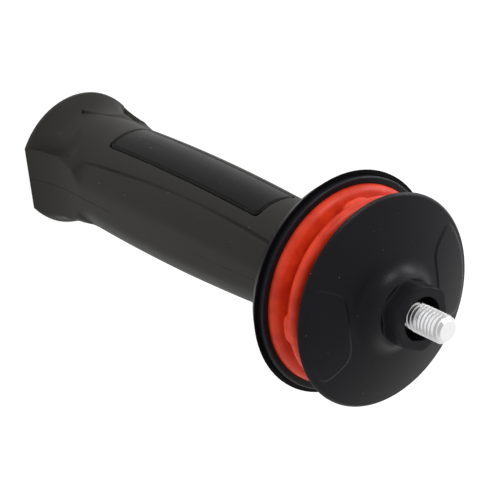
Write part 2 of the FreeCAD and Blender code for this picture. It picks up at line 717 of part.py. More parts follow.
def bush_retainer(screw_holes):
    """The ring that holds the swivel bush in its seat."""
    seat_r = "(ball_r + ball_gap)"
    top_r = "sqrt(%s * %s - (retainer_top_z - pivot_z) * (retainer_top_z - pivot_z))" % (seat_r, seat_r)
    outline = Outline(seat_r, "pivot_z")
    outline.line(RETAINER_R, "pivot_z")
    outline.line(RETAINER_R, "retainer_top_z")
    outline.line(top_r, "retainer_top_z")
    ring = turned_body("retainer_ring", outline.close(seat_r, -1))
    return less("bush_retainer", ring, screw_holes)


def bellows_ring():
    """The black ring in the guard's dish that grips the bellows' wide end."""
    foot_r = "%s - ring_foot" % BELLOWS_R
    outline = Outline(foot_r, "dish_floor_z")
    outline.line("%s - dish_chamfer" % RING_OUT_R, "dish_floor_z")
    outline.line(RING_OUT_R, "dish_wall_z")
    outline.line(RING_OUT_R, "ring_top_z - ring_round")
    outline.arc("%s - ring_round" % RING_OUT_R, "ring_top_z", "ring_round", 1)
    outline.line(RING_IN_R, "ring_top_z")
    outline.line(RING_IN_R, "ring_foot_z")
    outline.line(foot_r, "ring_foot_z")
    return turned_body("bellows_ring", outline.close())


def damper_bellows():
    """The red elastomer bellows: a wide roll, a deep valley with lobes and a narrow ridge."""
    body = new_body("damper_bellows")
    profile = bellows_profile()
    revolve(body, sketch_on(body, "XZ_Plane", "bellows_profile", [profile]), "bellows_turned")
    lobe_root_r = "(%s - valley_r - bellows_wall / 4)" % VALLEY_RING
    lobes = [
        ring_sector(lobe_root_r, "lobe_r", "lobe_half_angle", 90 * quarter) for quarter in range(4)
    ]
    sketch = sketch_on(body, "XY_Plane", "lobe_plan", lobes, height="lobe_bottom_z")
    pad(body, sketch, "valley_lobes", "lobe_top_z - lobe_bottom_z")
    return body


# Height of the valley's centre, and the slope of the straight wall between roll and valley.
VALLEY_Z = "(ridge_z - (ridge_r + valley_r) * sin(valley_lean))"
VALLEY_RISE = "(%s - roll_z)" % VALLEY_Z
VALLEY_RUN = "(%s - %s)" % (ROLL_RING, VALLEY_RING)
VALLEY_FAR = "sqrt(%s * %s + %s * %s)" % (VALLEY_RISE, VALLEY_RISE, VALLEY_RUN, VALLEY_RUN)
SLOPE = "(atan(%s / %s) - asin((roll_r + valley_r) / %s))" % (VALLEY_RISE, VALLEY_RUN, VALLEY_FAR)


def round_point(ring, height, radius, way):
    """The point of a round of that centre and radius that touches the sloping wall."""
    across = "%s + %d * %s * sin(%s)" % (ring, way, radius, SLOPE)
    return across, "%s + %d * %s * cos(%s)" % (height, way, radius, SLOPE)


def lean_point(radius):
    """The point of the ridge's round that touches the valley's round."""
    across = "%s - %s * cos(valley_lean)" % (RIDGE_RING, radius)
    return across, "ridge_z - %s * sin(valley_lean)" % radius


def bellows_profile():
    """The bellows' wall: its outer line from the ring to the plate, and back inside it."""
    inner_roll = "(roll_r - bellows_wall)"
    inner_valley = "(valley_r + bellows_wall)"
    inner_ridge = "(ridge_r - bellows_wall)"
    foot_r = "%s + %s" % (ROLL_RING, inner_roll)
    lip_r = "%s - 2 * bellows_wall" % RIDGE_RING
    outline = Outline(foot_r, "ring_foot_z")
    outline.line(BELLOWS_R, "ring_foot_z")
    outline.line(BELLOWS_R, "roll_z")
    outline.arc(*round_point(ROLL_RING, "roll_z", "roll_r", 1), "roll_r", 1)
    outline.line(*round_point(VALLEY_RING, VALLEY_Z, "valley_r", -1))
    outline.arc(*lean_point("ridge_r"), "valley_r", -1, large=True)
    outline.arc(RIDGE_RING, "ridge_z + ridge_r", "ridge_r", 1, large=True)
    outline.line(RIDGE_RING, "plate_bottom_z")
    outline.line(lip_r, "plate_bottom_z")
    outline.line(lip_r, "ridge_z + %s" % inner_ridge)
    outline.line(RIDGE_RING, "ridge_z + %s" % inner_ridge)
    outline.line(*lean_point(inner_ridge))
    outline.line("%s - %s" % (VALLEY_RING, inner_valley), VALLEY_Z)
    outline.line(*round_point(VALLEY_RING, VALLEY_Z, inner_valley, -1))
    outline.line(*round_point(ROLL_RING, "roll_z", inner_roll, 1))
    outline.line(foot_r, "roll_z")
    return outline.close()


# The pieces of the tilting head


def swivel_bush():
    """The ball-shaped bush that the head tilts on, with a waisted bore."""
    end_r = "sqrt(ball_r * ball_r - ball_half * ball_half)"
    bore = "(spacer_r + ball_gap)"
    wide = "(%s + bore_flare)" % bore
    bow = "((ball_half * ball_half + bore_flare * bore_flare) / (2 * bore_flare))"
    outline = Outline(wide, "pivot_z - ball_half")
    outline.line(end_r, "pivot_z - ball_half")
    outline.arc(end_r, "pivot_z + ball_half", "ball_r", 1)
    outline.line(wide, "pivot_z + ball_half")
    outline.arc(bore, "pivot_z", bow, 1)
    return turned_body("swivel_bush", outline.close(bow, 1))


# The disc's front is a dome round a centre on the axis, with a fillet up to the boss.
DOME_EDGE_R = "(disc_r - disc_bevel)"
DOME_EDGE_Z = "(disc_rear_z + disc_edge + disc_bevel)"
DOME_CENTRE_Z = "(%s - sqrt(dome_r * dome_r - %s * %s))" % (DOME_EDGE_Z, DOME_EDGE_R, DOME_EDGE_R)
FILLET_SPREAD = "(1 + boss_fillet_r / dome_r)"
DOME_TOP_R = "((boss_flats / 2 + boss_fillet_r) / %s)" % FILLET_SPREAD
DOME_TOP_RISE = "sqrt(dome_r * dome_r - %s * %s)" % (DOME_TOP_R, DOME_TOP_R)
FILLET_DROP = "sqrt(boss_ledge * (2 * boss_fillet_r - boss_ledge))"
BOSS_FOOT_Z = "(%s + %s * %s - %s)" % (DOME_CENTRE_Z, DOME_TOP_RISE, FILLET_SPREAD, FILLET_DROP)


def disc_field_cutters():
    """Two shallow fields on the sides of the disc's front, as deep at every point."""
    rim_r = "(disc_r - field_rim)"
    inner_y = "(field_x * tan(field_spread) - field_corner_r / tan(45 + field_spread / 2))"
    side_x = "(field_x + field_corner_r / tan(45 + field_spread / 2) * cos(field_spread))"
    side_y = "(%s * tan(field_spread))" % side_x
    inner_r = "(%s - field_corner_r)" % rim_r
    reach = "sqrt(%s * %s - field_corner_r * field_corner_r)" % (inner_r, inner_r)
    stretch = "%s / %s" % (rim_r, inner_r)
    end_x = "(%s * cos(field_spread) + field_corner_r * sin(field_spread)) * %s" % (reach, stretch)
    end_y = "(%s * sin(field_spread) - field_corner_r * cos(field_spread)) * %s" % (reach, stretch)
    outer_x, outer_y = polar(reach, "field_spread")
    outline = Outline("field_x", "-%s" % inner_y)
    outline.arc(side_x, "-%s" % side_y, "field_corner_r", 1)
    outline.line(outer_x, "-(%s)" % outer_y)
    outline.arc(end_x, "-(%s)" % end_y, "field_corner_r", 1)
    outline.arc(end_x, end_y, rim_r, 1)
    outline.arc(outer_x, outer_y, "field_corner_r", 1)
    outline.line(side_x, side_y)
    outline.arc("field_x", inner_y, "field_corner_r", 1)
    prism = new_body("field_prism")
    sketch = sketch_on(prism, "XY_Plane", "field_prism_plan", [outline.close()], "disc_rear_z")
    pad(prism, sketch, "field_prism_block", "boss_top_z - disc_rear_z")
    prisms = joined("field_prisms", [prism, mirrored("field_prism_across", prism, Vector(1, 0, 0))])
    floor = doc.addObject("Part::Sphere", "field_floor")
    floor.setExpression("Radius", bound("dome_r"))
    floor.setExpression("Placement.Base.z", bound("%s - field_depth" % DOME_CENTRE_Z))
    return less("disc_field_cutters", prisms, floor)


def rib_field():
    """The hollow behind the disc, before the ribs divide it."""
    ceiling = "(dome_r - disc_wall)"
    inner_r = "hub_block_r"
    outer_r = "(%s - skirt_wall)" % SKIRT_R
    outline = Outline(inner_r, "plate_top_z")
    outline.line(outer_r, "plate_top_z")
    outer_z = "%s + sqrt(%s * %s - %s * %s)" % (DOME_CENTRE_Z, ceiling, ceiling, outer_r, outer_r)
    inner_z = "%s + sqrt(%s * %s - %s * %s)" % (DOME_CENTRE_Z, ceiling, ceiling, inner_r, inner_r)
    outline.line(outer_r, outer_z)
    outline.arc(inner_r, inner_z, ceiling, 1)
    return outline.close()


def front_disc(screw_holes):
    """The domed front disc with its hexagon boss, hub, ribs and side fields."""
    outline = Outline("0", "hub_bottom_z")
    outline.line("hub_r", "hub_bottom_z")
    outline.line("hub_r", "plate_top_z")
    outline.line(SKIRT_R, "plate_top_z")
    outline.line(SKIRT_R, "disc_rear_z")
    outline.line("disc_r - disc_edge_round", "disc_rear_z")
    outline.line("disc_r", "disc_rear_z + disc_edge_round")
    outline.line("disc_r", "disc_rear_z + disc_edge")
    outline.line(DOME_EDGE_R, DOME_EDGE_Z)
    outline.arc(DOME_TOP_R, "%s + %s" % (DOME_CENTRE_Z, DOME_TOP_RISE), "dome_r", 1)
    outline.arc("boss_flats / 2 + boss_ledge", BOSS_FOOT_Z, "boss_fillet_r", -1)
    outline.line("0", BOSS_FOOT_Z)
    body = turned_body("disc_body", outline.close())
    field_sketch = sketch_on(body, "XZ_Plane", "rib_field_profile", [rib_field()])
    field_angle = "360 / disc_rib_count - disc_rib_angle"
    cut = revolve(body, field_sketch, "rib_field", "PartDesign::Groove", field_angle)
    repeat_round(body, cut, "rib_fields", "disc_rib_count")
    boss_plan = hexagon("(boss_flats / 2)", "boss_corner_r")
    boss = sketch_on(body, "XY_Plane", "boss_outline", [boss_plan], "collar_top_z")
    pad(body, boss, "boss", "boss_top_z - collar_top_z")
    well = sketch_on(body, "XY_Plane", "well_outline", height="boss_top_z")
    circle_in(well, "well_r")
    pocket(body, well, "well", "boss_top_z - collar_top_z")
    seat_plan = plain_hexagon("(collar_flats / 2)")
    seat = sketch_on(body, "XY_Plane", "collar_seat_outline", [seat_plan], "collar_top_z")
    pocket(body, seat, "collar_seat", "collar_top_z - collar_bottom_z")
    bore = sketch_on(body, "XY_Plane", "shank_bore_outline", height="collar_bottom_z")
    circle_in(bore, "shank_r + shank_gap")
    pocket(body, bore, "shank_bore", "collar_bottom_z - hub_bottom_z")
    bare = less("disc_with_fields", body, disc_field_cutters())
    return less("front_disc", bare, screw_holes)


def threaded_stud():
    """The steel stud: front thread, hexagon collar held in the disc, and rear shank."""
    outline = Outline("0", "shank_end_z")
    outline.line("shank_r", "shank_end_z")
    outline.line("shank_r", "collar_bottom_z")
    outline.line("stud_r", "collar_bottom_z")
    outline.line("stud_r", "stud_tip_z - stud_chamfer")
    outline.line("stud_r - stud_chamfer", "stud_tip_z")
    outline.line("0", "stud_tip_z")
    body = turned_body("threaded_stud", outline.close())
    plan = plain_hexagon("(collar_flats / 2)")
    collar = sketch_on(body, "XY_Plane", "collar_outline", [plan], "collar_bottom_z")
    pad(body, collar, "collar", "collar_top_z - collar_bottom_z")
    return body


def coupling_plate(screw_holes):
    """The plate behind the disc, with four dogs between the core's stop posts."""
    outline = Outline("hub_r + ring_gap", "plate_bottom_z")
    outline.line("plate_r", "plate_bottom_z")
    outline.line("plate_r", "plate_top_z")
    outline.line("hub_r + ring_gap", "plate_top_z")
    body = turned_body("plate_body", outline.close())
    dogs = [
        ring_sector(POST_IN_R, POST_OUT_R, "dog_half_angle", 90 * quarter)
        for quarter in range(4)
    ]
    sketch = sketch_on(body, "XY_Plane", "dog_plan", dogs, height="dog_bottom_z")
    pad(body, sketch, "dogs", "plate_bottom_z - dog_bottom_z")
    return less("coupling_plate", body, screw_holes)


def tube(name, inner_r, outer_r, low_z, high_z):
    """A plain ring round the handle's axis."""
    outline = Outline(inner_r, low_z)
    outline.line(outer_r, low_z)
    outline.line(outer_r, high_z)
    outline.line(inner_r, high_z)
    return turned_body(name, outline.close())


def lock_nut():
    """The hexagon nut on the stud's rear thread, hollow at its end for the locking ring."""
    body = new_body("lock_nut")
    low = "washer_top_z - washer_thick - nut_height"
    sketch = sketch_on(body, "XY_Plane", "nut_outline", [plain_hexagon("(nut_flats / 2)")], low)
    pad(body, sketch, "nut_block", "nut_height")
    bore = sketch_on(body, "XY_Plane", "nut_bore_outline", height=low)
    circle_in(bore, "shank_r + shank_gap")
    pocket(body, bore, "nut_bore", "nut_height", reverse=True)
    seat = sketch_on(body, "XY_Plane", "nut_ring_outline", height=low)
    circle_in(seat, "nut_ring_r + nut_ring_gap")
    pocket(body, seat, "nut_ring_seat", "nut_ring_height", reverse=True)
    return body


def build():
    """Makes every piece and returns them by node name."""
    retainer_screws = ["(ball_r + retainer_wall / 2)", "retainer_top_z", -1]
    plate_screws = ["plate_screw_ring_r", "plate_bottom_z", 1]
    retainer_holes = screw_group("retainer_holes", *retainer_screws, "screw_gap")
    plate_holes = screw_group("plate_holes", *plate_screws, "screw_gap")
    bore = "shank_r + shank_gap"
    washer_z = "washer_top_z - washer_thick"
    nut_z = "%s - nut_height" % washer_z
    return {
        "grip_core": grip_core(retainer_holes),
        "grip_sleeve": grip_sleeve(grip_form()),
        "top_inlay": top_inlay(),
        "end_cap": end_cap(),
        "bush_retainer": bush_retainer(retainer_holes),
        "retainer_screws": screw_group("retainer_screws", *retainer_screws, "0"),
        "bellows_ring": bellows_ring(),
        "damper_bellows": damper_bellows(),
        "buffer_ring": tube("buffer_ring", "buffer_hole_r", "buffer_r", "washer_top_z", "cavity_top_z"),
        "swivel_bush": swivel_bush(),
        "front_disc": front_disc(plate_holes),
        "threaded_stud": threaded_stud(),
        "coupling_plate": coupling_plate(plate_holes),
        "plate_screws": screw_group("plate_screws", *plate_screws, "0"),
        "spacer_sleeve": tube("spacer_sleeve", bore, "spacer_r", "washer_top_z", "hub_bottom_z"),
        "stop_washer": tube("stop_washer", bore, "washer_r", washer_z, "washer_top_z"),
        "lock_nut": lock_nut(),
        "locking_ring": tube("locking_ring", bore, "nut_ring_r", nut_z, "%s + nut_ring_height" % nut_z),
    }


def check_and_write(pieces):
    """Stops on any failed object or bad solid, then writes one STEP file for each piece."""
    doc.recompute()
    for item in doc.Objects:
        if {"Invalid", "Error"} & set(item.State):
            raise RuntimeError("%s failed: %s" % (item.Name, item.State))
    for name, piece in pieces.items():
        shape = piece.Shape
        if shape.isNull() or not shape.isValid() or not shape.Solids:
            raise RuntimeError("%s has no sound solid" % name)
        piece.Label = name
        print("%-18s %2d solid(s) %10.1f mm3" % (name, len(shape.Solids), shape.Volume))
    os.makedirs("parts", exist_ok=True)
    for name, piece in pieces.items():
        piece.Shape.exportStep("parts/%s.step" % name)


check_and_write(build())
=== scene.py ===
"""Looks of a vibration-damped side handle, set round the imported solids.

The sub-assembly classes hold their sizes in millimetres in the solids' own frame: +Z runs up
along the stud, the side panels face +X and -X and the pad faces -Y. Meshes are made in metres.
"""
import logging
import math
from dataclasses import dataclass, field
from enum import Enum
from typing import Any, Iterable, Sequence

import bmesh
import bpy
import numpy as np
from mathutils import Matrix, Vector


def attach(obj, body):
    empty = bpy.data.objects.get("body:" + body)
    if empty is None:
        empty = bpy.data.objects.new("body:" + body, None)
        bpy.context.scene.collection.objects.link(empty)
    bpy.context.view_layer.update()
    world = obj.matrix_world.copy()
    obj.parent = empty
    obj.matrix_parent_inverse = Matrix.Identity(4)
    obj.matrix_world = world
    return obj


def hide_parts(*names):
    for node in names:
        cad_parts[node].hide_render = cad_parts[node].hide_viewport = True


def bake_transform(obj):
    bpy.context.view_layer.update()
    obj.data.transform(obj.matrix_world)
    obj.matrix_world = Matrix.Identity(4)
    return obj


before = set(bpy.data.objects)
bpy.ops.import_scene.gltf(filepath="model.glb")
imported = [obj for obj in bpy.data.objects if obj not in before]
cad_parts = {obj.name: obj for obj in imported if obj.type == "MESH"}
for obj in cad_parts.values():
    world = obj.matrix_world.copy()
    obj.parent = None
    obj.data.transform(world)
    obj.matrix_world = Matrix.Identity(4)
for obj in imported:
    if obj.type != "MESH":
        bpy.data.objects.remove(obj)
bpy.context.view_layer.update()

MM = 0.001
MERGE_DISTANCE = 1e-7
FULL_TURN = 2 * math.pi
NOISE_MEAN = 0.5
LOG = logging.getLogger("side_handle")

Point = tuple[float, float]
Span = tuple[float, float]
Triple = tuple[float, float, float]
Loop = tuple[np.ndarray | float, np.ndarray | float]


# Meshes


class Ends(Enum):
    """How the two end rings of a stack of rings are closed."""

    JOINED = "joined"
    CAPPED = "capped"


def ring_piece(name: str, rings: np.ndarray, ends: Ends, sharp: float) -> bpy.types.Object:
    """Makes a smooth piece from a stack of closed rings.

    Args:
        name: Name of the piece.
        rings: Points in millimetres, as rings x points x 3.
        ends: How the first and last ring are closed.
        sharp: Angle in degrees above which an edge stays sharp.

    Returns:
        The new object, linked to the scene.
    """
    rows, columns, _ = rings.shape
    index = np.arange(rows * columns).reshape(rows, columns)
    lower = index if ends is Ends.JOINED else index[:-1]
    upper = np.roll(index, -1, axis=0) if ends is Ends.JOINED else index[1:]
    corners = (lower, np.roll(lower, -1, 1), np.roll(upper, -1, 1), upper)
    faces = np.stack(corners, axis=-1).reshape(-1, 4).tolist()
    if ends is Ends.CAPPED:
        faces += [index[0][::-1].tolist(), index[-1].tolist()]
    return face_piece(name, rings.reshape(-1, 3), faces, sharp)


def face_piece(
    name: str, points: np.ndarray, faces: Sequence[Sequence[int]], sharp: float
) -> bpy.types.Object:
    """Makes a smooth piece from points and faces.

    Args:
        name: Name of the piece.
        points: Points in millimetres.
        faces: Point numbers of each face.
        sharp: Angle in degrees above which an edge stays sharp.

    Returns:
        The new object, linked to the scene.
    """
    mesh = bpy.data.meshes.new(name)
    mesh.from_pydata((np.asarray(points, float) * MM).tolist(), [], list(faces))
    shape = bmesh.new()
    shape.from_mesh(mesh)
    bmesh.ops.remove_doubles(shape, verts=shape.verts, dist=MERGE_DISTANCE)
    bmesh.ops.recalc_face_normals(shape, faces=shape.faces)
    shape.to_mesh(mesh)
    shape.free()
    mesh.shade_smooth()
    mesh.set_sharp_from_angle(angle=math.radians(sharp))
    piece = bpy.data.objects.new(name, mesh)
    bpy.context.scene.collection.objects.link(piece)
    return piece


def level_ring(
    radius: np.ndarray | float, cos: np.ndarray, sin: np.ndarray, height: float
) -> np.ndarray:
    """One ring of points at a single height."""
    return np.stack((radius * cos, radius * sin, np.full_like(cos, height)), axis=1)


def arc(centre: Point, radius: float, turns: Iterable[float]) -> list[Point]:
    """Points on a circle at these angles, in radians."""
    return [(centre[0] + radius * math.cos(t), centre[1] + radius * math.sin(t)) for t in turns]


def off_flat(angles: np.ndarray) -> np.ndarray:
    """Angle to the middle of the nearest flat of a hexagon with flats towards +X and -X."""
    return (angles + math.pi / 6) % (math.pi / 3) - math.pi / 6


def soft_min(first: np.ndarray, second: np.ndarray, width: float) -> np.ndarray:
    """The lower of two values, rounded off where they meet within the width."""
    near = np.maximum(width - np.abs(first - second), 0.0) / width
    return np.minimum(first, second) - near * near * width / 4


def soft_max(first: np.ndarray, second: np.ndarray, width: float) -> np.ndarray:
    """The higher of two values, rounded off where they meet within the width."""
    return -soft_min(-first, -second, width)


def smooth_step(low: float, high: float, value: np.ndarray) -> np.ndarray:
    """A smooth rise from 0 at low to 1 at high."""
    share = np.clip((value - low) / (high - low), 0.0, 1.0)
    return share * share * (3 - 2 * share)


def bow(height: np.ndarray, start: Point, end: Point, radius: float) -> np.ndarray:
    """Radii along an arc between two (radius, height) points.

    Args:
        height: Heights to evaluate.
        start: Radius and height of the arc's first end.
        end: Radius and height of its other end.
        radius: The arc's radius: positive bulges outwards, negative is hollow.

    Returns:
        The radius at each height.
    """
    run, rise = end[0] - start[0], end[1] - start[1]
    chord = math.hypot(run, rise)
    depth = math.sqrt(radius * radius - chord * chord / 4) * math.copysign(1, radius)
    centre_r = (start[0] + end[0]) / 2 - depth * rise / chord
    centre_z = (start[1] + end[1]) / 2 + depth * run / chord
    inside = np.maximum(radius * radius - (height - centre_z) ** 2, 0.0)
    return centre_r + math.copysign(1, radius) * np.sqrt(inside)


# Shader graphs


class Sock:
    """A shader value that takes part in Python expressions."""

    def __init__(self, graph: "Graph", socket: bpy.types.NodeSocket | None) -> None:
        """Wraps one output socket of a graph."""
        self.graph = graph
        self.socket = socket

    def _with(self, operation: str, *values: Any) -> "Sock":
        """Adds the Math node of an operation on these values."""
        return self.graph.node("ShaderNodeMath", {"operation": operation}, dict(enumerate(values)))

    def __add__(self, other: Any) -> "Sock":
        """Sum."""
        return self._with("ADD", self, other)

    __radd__ = __add__

    def __sub__(self, other: Any) -> "Sock":
        """Difference."""
        return self._with("SUBTRACT", self, other)

    def __rsub__(self, other: Any) -> "Sock":
        """Difference from a number."""
        return self._with("SUBTRACT", other, self)

    def __mul__(self, other: Any) -> "Sock":
        """Product."""
        return self._with("MULTIPLY", self, other)

    __rmul__ = __mul__

    def __abs__(self) -> "Sock":
        """Absolute value."""
        return self._with("ABSOLUTE", self)

    def between(self, low: float, high: float) -> "Sock":
        """A smooth rise from 0 at low to 1 at high, or a fall where low is above high.

        Args:
            low: Value where the result is 0.
            high: Value where the result is 1.

        Returns:
            The result, from 0 to 1.
        """
        if low > high:
            return 1 - self.between(high, low)
        inputs = {"Value": self, "From Min": low, "From Max": high}
        return self.graph.node(
            "ShaderNodeMapRange", {"interpolation_type": "SMOOTHSTEP"}, inputs
        )


class Graph:
    """The node tree of one material or of the world."""

    def __init__(self, owner: bpy.types.ID) -> None:
        """Starts the owner's tree empty."""
        owner.use_nodes = True
        self.owner = owner
        self.tree = owner.node_tree
        self.tree.nodes.clear()

    @classmethod
    def surface(cls, name: str) -> "Graph":
        """Starts a new material."""
        return cls(bpy.data.materials.new(name))

    def node(
        self, kind: str, settings: dict[str, Any], inputs: dict[Any, Any], output: Any = 0
    ) -> Sock:
        """Adds a node.

        Args:
            kind: The node's type.
            settings: Its own properties, set before its sockets.
            inputs: Values or links by the sockets' names or numbers.
            output: Name or number of the output wanted.

        Returns:
            That output, which is empty for a node that ends the tree.
        """
        added = self.tree.nodes.new(kind)
        for key, value in settings.items():
            setattr(added, key, value)
        for key, value in inputs.items():
            if isinstance(value, Sock):
                self.tree.links.new(value.socket, added.inputs[key])
            else:
                added.inputs[key].default_value = value
        return Sock(self, added.outputs[output] if added.outputs else None)

    def place(self) -> Sock:
        """The point on the piece in its own frame, in metres."""
        return self.node("ShaderNodeTexCoord", {}, {}, "Object")

    def parts(self, vector: Sock) -> tuple[Sock, Sock, Sock]:
        """Takes a vector apart.

        Args:
            vector: The vector.

        Returns:
            Its three numbers.
        """
        first = self.node("ShaderNodeSeparateXYZ", {}, {0: vector})
        outputs = first.socket.node.outputs
        return first, Sock(self, outputs[1]), Sock(self, outputs[2])

    def noise(self, place: Sock, size: float, detail: float = 2.0, rough: float = 0.5) -> Sock:
        """Noise whose grains are about this many millimetres across."""
        inputs = {"Vector": place, "Scale": 1 / (size * MM), "Detail": detail, "Roughness": rough}
        return self.node("ShaderNodeTexNoise", {}, inputs)

    def mix(self, share: Any, first: Any, second: Any) -> Sock:
        """Mixes two colours."""
        inputs = {"Factor": share, 6: first, 7: second}
        return self.node("ShaderNodeMix", {"data_type": "RGBA"}, inputs, 2)

    def bump(self, height: Sock, depth: float) -> Sock:
        """A bump of this depth in millimetres."""
        inputs = {"Height": height, "Strength": 1.0, "Distance": depth * MM}
        return self.node("ShaderNodeBump", {}, inputs, "Normal")

    def finish(self, inputs: dict[str, Any]) -> bpy.types.Material:
        """Ends the tree in a Principled shader.

        Args:
            inputs: Values or links by the names of the shader's sockets.

        Returns:
            The material.
        """
        shader = self.node("ShaderNodeBsdfPrincipled", {}, inputs)
        self.node("ShaderNodeOutputMaterial", {}, {"Surface": shader})
        return self.owner


def tint(red: float, green: float, blue: float) -> tuple[float, float, float, float]:
    """A linear colour with full alpha."""
    return red, green, blue, 1.0


@dataclass(frozen=True)
class Seam:
    """The mould's parting line down the middle of both side panels, with spans in metres: a real
    bumped groove whose colour is darkened as painted shade.
    """

    half: Span = (0.00016, 0.00004)
    out: Span = (0.012, 0.013)
    rear: Span = (0.046, 0.034)
    front: Span = (0.072, 0.080)
    front_end: Span = (0.106, 0.102)
    front_share: float = 0.7
    # Share of the painted shade that darkens the groove's colour.
    painted_shade: float = 0.8
    depth: float = 9.0
    # Near-black colour of the painted shade in the groove.
    colour: Triple = (0.003, 0.003, 0.003)

    def line(self, graph: Graph, place: Sock) -> Sock:
        """Marks the line.

        Args:
            graph: The material's tree.
            place: The point on the piece.

        Returns:
            A share that is 1 on the line and 0 away from it.
        """
        across, side, height = graph.parts(place)
        middle = abs(side).between(*self.half) * abs(across).between(*self.out)
        front = height.between(*self.front) * height.between(*self.front_end)
        return middle * (height.between(*self.rear) + front * self.front_share)


@dataclass(frozen=True)
class DarkPlastic:
    """Moulded black plastic or soft skin with a fine grain, faint clouding, a little dust and,
    where it has a seam, painted shade along the seam's groove.
    """

    name: str
    colour: Triple
    roughness: float
    specular: float
    grain: float = 0.22
    grain_depth: float = 0.008
    grain_rough: float = 0.10
    cloud: float = 0.12
    cloud_size: float = 9.0
    cloud_rough: float = 0.12
    dust: float = 0.25
    dust_size: float = 0.9
    dust_span: Span = (0.785, 0.81)
    dust_colour: Triple = (0.35, 0.34, 0.32)
    seam: Seam | None = None

    def material(self) -> bpy.types.Material:
        """Builds the material.

        Returns:
            The material.
        """
        graph = Graph.surface(self.name)
        place = graph.place()
        cloud = graph.noise(place, self.cloud_size, 3.0)
        grain = graph.noise(place, self.grain, 2.0, 0.6)
        colour = graph.mix(
            cloud,
            tint(*(part * (1 - self.cloud) for part in self.colour)),
            tint(*(part * (1 + self.cloud) for part in self.colour)),
        )
        specks = graph.noise(place, self.dust_size, 1.0).between(*self.dust_span) * self.dust
        colour = graph.mix(specks, colour, tint(*self.dust_colour))
        height = grain
        if self.seam:
            line = self.seam.line(graph, place)
            # Painted shade: the seam's groove is darkened towards near black, on top of its real
            # bump.
            colour = graph.mix(line * self.seam.painted_shade, colour, tint(*self.seam.colour))
            height = grain - line * self.seam.depth
        clouded = self.roughness + (cloud - NOISE_MEAN) * self.cloud_rough
        return graph.finish({
            "Base Color": colour,
            "Roughness": clouded + (grain - NOISE_MEAN) * self.grain_rough,
            "Specular IOR Level": self.specular,
            "Normal": graph.bump(height, self.grain_depth),
        })


@dataclass(frozen=True)
class Elastomer:
    """Satin coloured elastomer with soft clouding and a little dust."""

    name: str
    colour: Triple
    deep: Triple
    roughness: float
    translucence: float = 0.0
    scatter: Triple = (1.0, 0.25, 0.1)
    scatter_scale: float = 0.0015
    specular: float = 0.25
    cloud_size: float = 6.0
    cloud_span: Span = (0.3, 0.7)
    cloud_rough: float = 0.1
    grain: float = 0.35
    grain_depth: float = 0.006
    grain_rough: float = 0.06
    dust: float = 0.3
    dust_size: float = 0.8
    dust_span: Span = (0.77, 0.80)
    dust_colour: Triple = (0.5, 0.42, 0.38)

    def material(self) -> bpy.types.Material:
        """Builds the material.

        Returns:
            The material.
        """
        graph = Graph.surface(self.name)
        place = graph.place()
        cloud = graph.noise(place, self.cloud_size, 3.0)
        grain = graph.noise(place, self.grain, 2.0)
        share = cloud.between(*self.cloud_span)
        colour = graph.mix(share, tint(*self.deep), tint(*self.colour))
        specks = graph.noise(place, self.dust_size, 1.0).between(*self.dust_span) * self.dust
        colour = graph.mix(specks, colour, tint(*self.dust_colour))
        clouded = self.roughness + (cloud - NOISE_MEAN) * self.cloud_rough
        return graph.finish({
            "Base Color": colour,
            "Roughness": clouded + (grain - NOISE_MEAN) * self.grain_rough,
            "Specular IOR Level": self.specular,
            "Subsurface Weight": self.translucence,
            "Subsurface Radius": self.scatter,
            "Subsurface Scale": self.scatter_scale,
            "Normal": graph.bump(grain, self.grain_depth),
        })


@dataclass(frozen=True)
class Plating:
    """Bright plated steel with a very fine grain and slight clouding."""

    name: str
    colour: Triple
    roughness: float
    cloud: float = 0.1
    cloud_size: float = 1.6
    cloud_rough: float = 0.12
    grain: float = 0.12
    grain_depth: float = 0.002

    def material(self) -> bpy.types.Material:
        """Builds the material.

        Returns:
            The material.
        """
        graph = Graph.surface(self.name)
        place = graph.place()
        cloud = graph.noise(place, self.cloud_size, 3.0)
        grain = graph.noise(place, self.grain, 2.0)
        dull = tint(*(part * (1 - self.cloud) for part in self.colour))
        return graph.finish({
            "Base Color": graph.mix(cloud, dull, tint(*self.colour)),
            "Metallic": 1.0,
            "Roughness": self.roughness + (cloud - NOISE_MEAN) * self.cloud_rough,
            "Normal": graph.bump(grain, self.grain_depth),
        })


class Finish(Enum):
    """The finishes of the handle. The core's is a darker copy of the hard black with less shine:
    its darker colour is painted shade on the guard, whose near side faces away from the light.
    """

    HARD_BLACK = DarkPlastic(
        "hard_black", (0.0078, 0.0074, 0.0098), 0.36, 0.16, grain=0.42, grain_depth=0.06
    )
    # Painted shade: a darker, less shiny copy of the hard black for the core's guard.
    SHADED_CORE_BLACK = DarkPlastic(
        "hard_black", (0.0040, 0.0038, 0.0048), 0.42, 0.08, grain=0.42, grain_depth=0.03
    )
    SOFT_BLACK = DarkPlastic("soft_black", (0.0250, 0.0240, 0.0213), 0.52, 0.10, seam=Seam())
    PAD_BLACK = DarkPlastic(
        "pad_black", (0.0060, 0.0060, 0.0058), 0.36, 0.085, grain=0.15, grain_depth=0.003
    )
    RED_ELASTOMER = Elastomer(
        "red_elastomer", (0.74, 0.048, 0.013), (0.54, 0.025, 0.005), 0.40, 0.04
    )
    BLACK_ELASTOMER = Elastomer(
        "black_elastomer", (0.02, 0.02, 0.02), (0.014, 0.014, 0.014), 0.55
    )
    ZINC_STEEL = Plating("zinc_steel", (0.93, 0.93, 0.94), 0.2)
    BUSH_WHITE = Elastomer("bush_white", (0.74, 0.73, 0.68), (0.68, 0.66, 0.6), 0.4, 0.1)
    NYLON_BLUE = Elastomer("nylon_blue", (0.06, 0.16, 0.42), (0.04, 0.11, 0.32), 0.45)

    def dress(self, *pieces: bpy.types.Object) -> None:
        """Gives this finish to pieces.

        Args:
            pieces: The pieces to dress.
        """
        name = self.name.lower() + "_finish"
        built = bpy.data.materials.get(name)
        if built is None:
            built = self.value.material()
            built.name = name
        for piece in pieces:
            piece.data.materials.clear()
            piece.data.materials.append(built)


# The grip


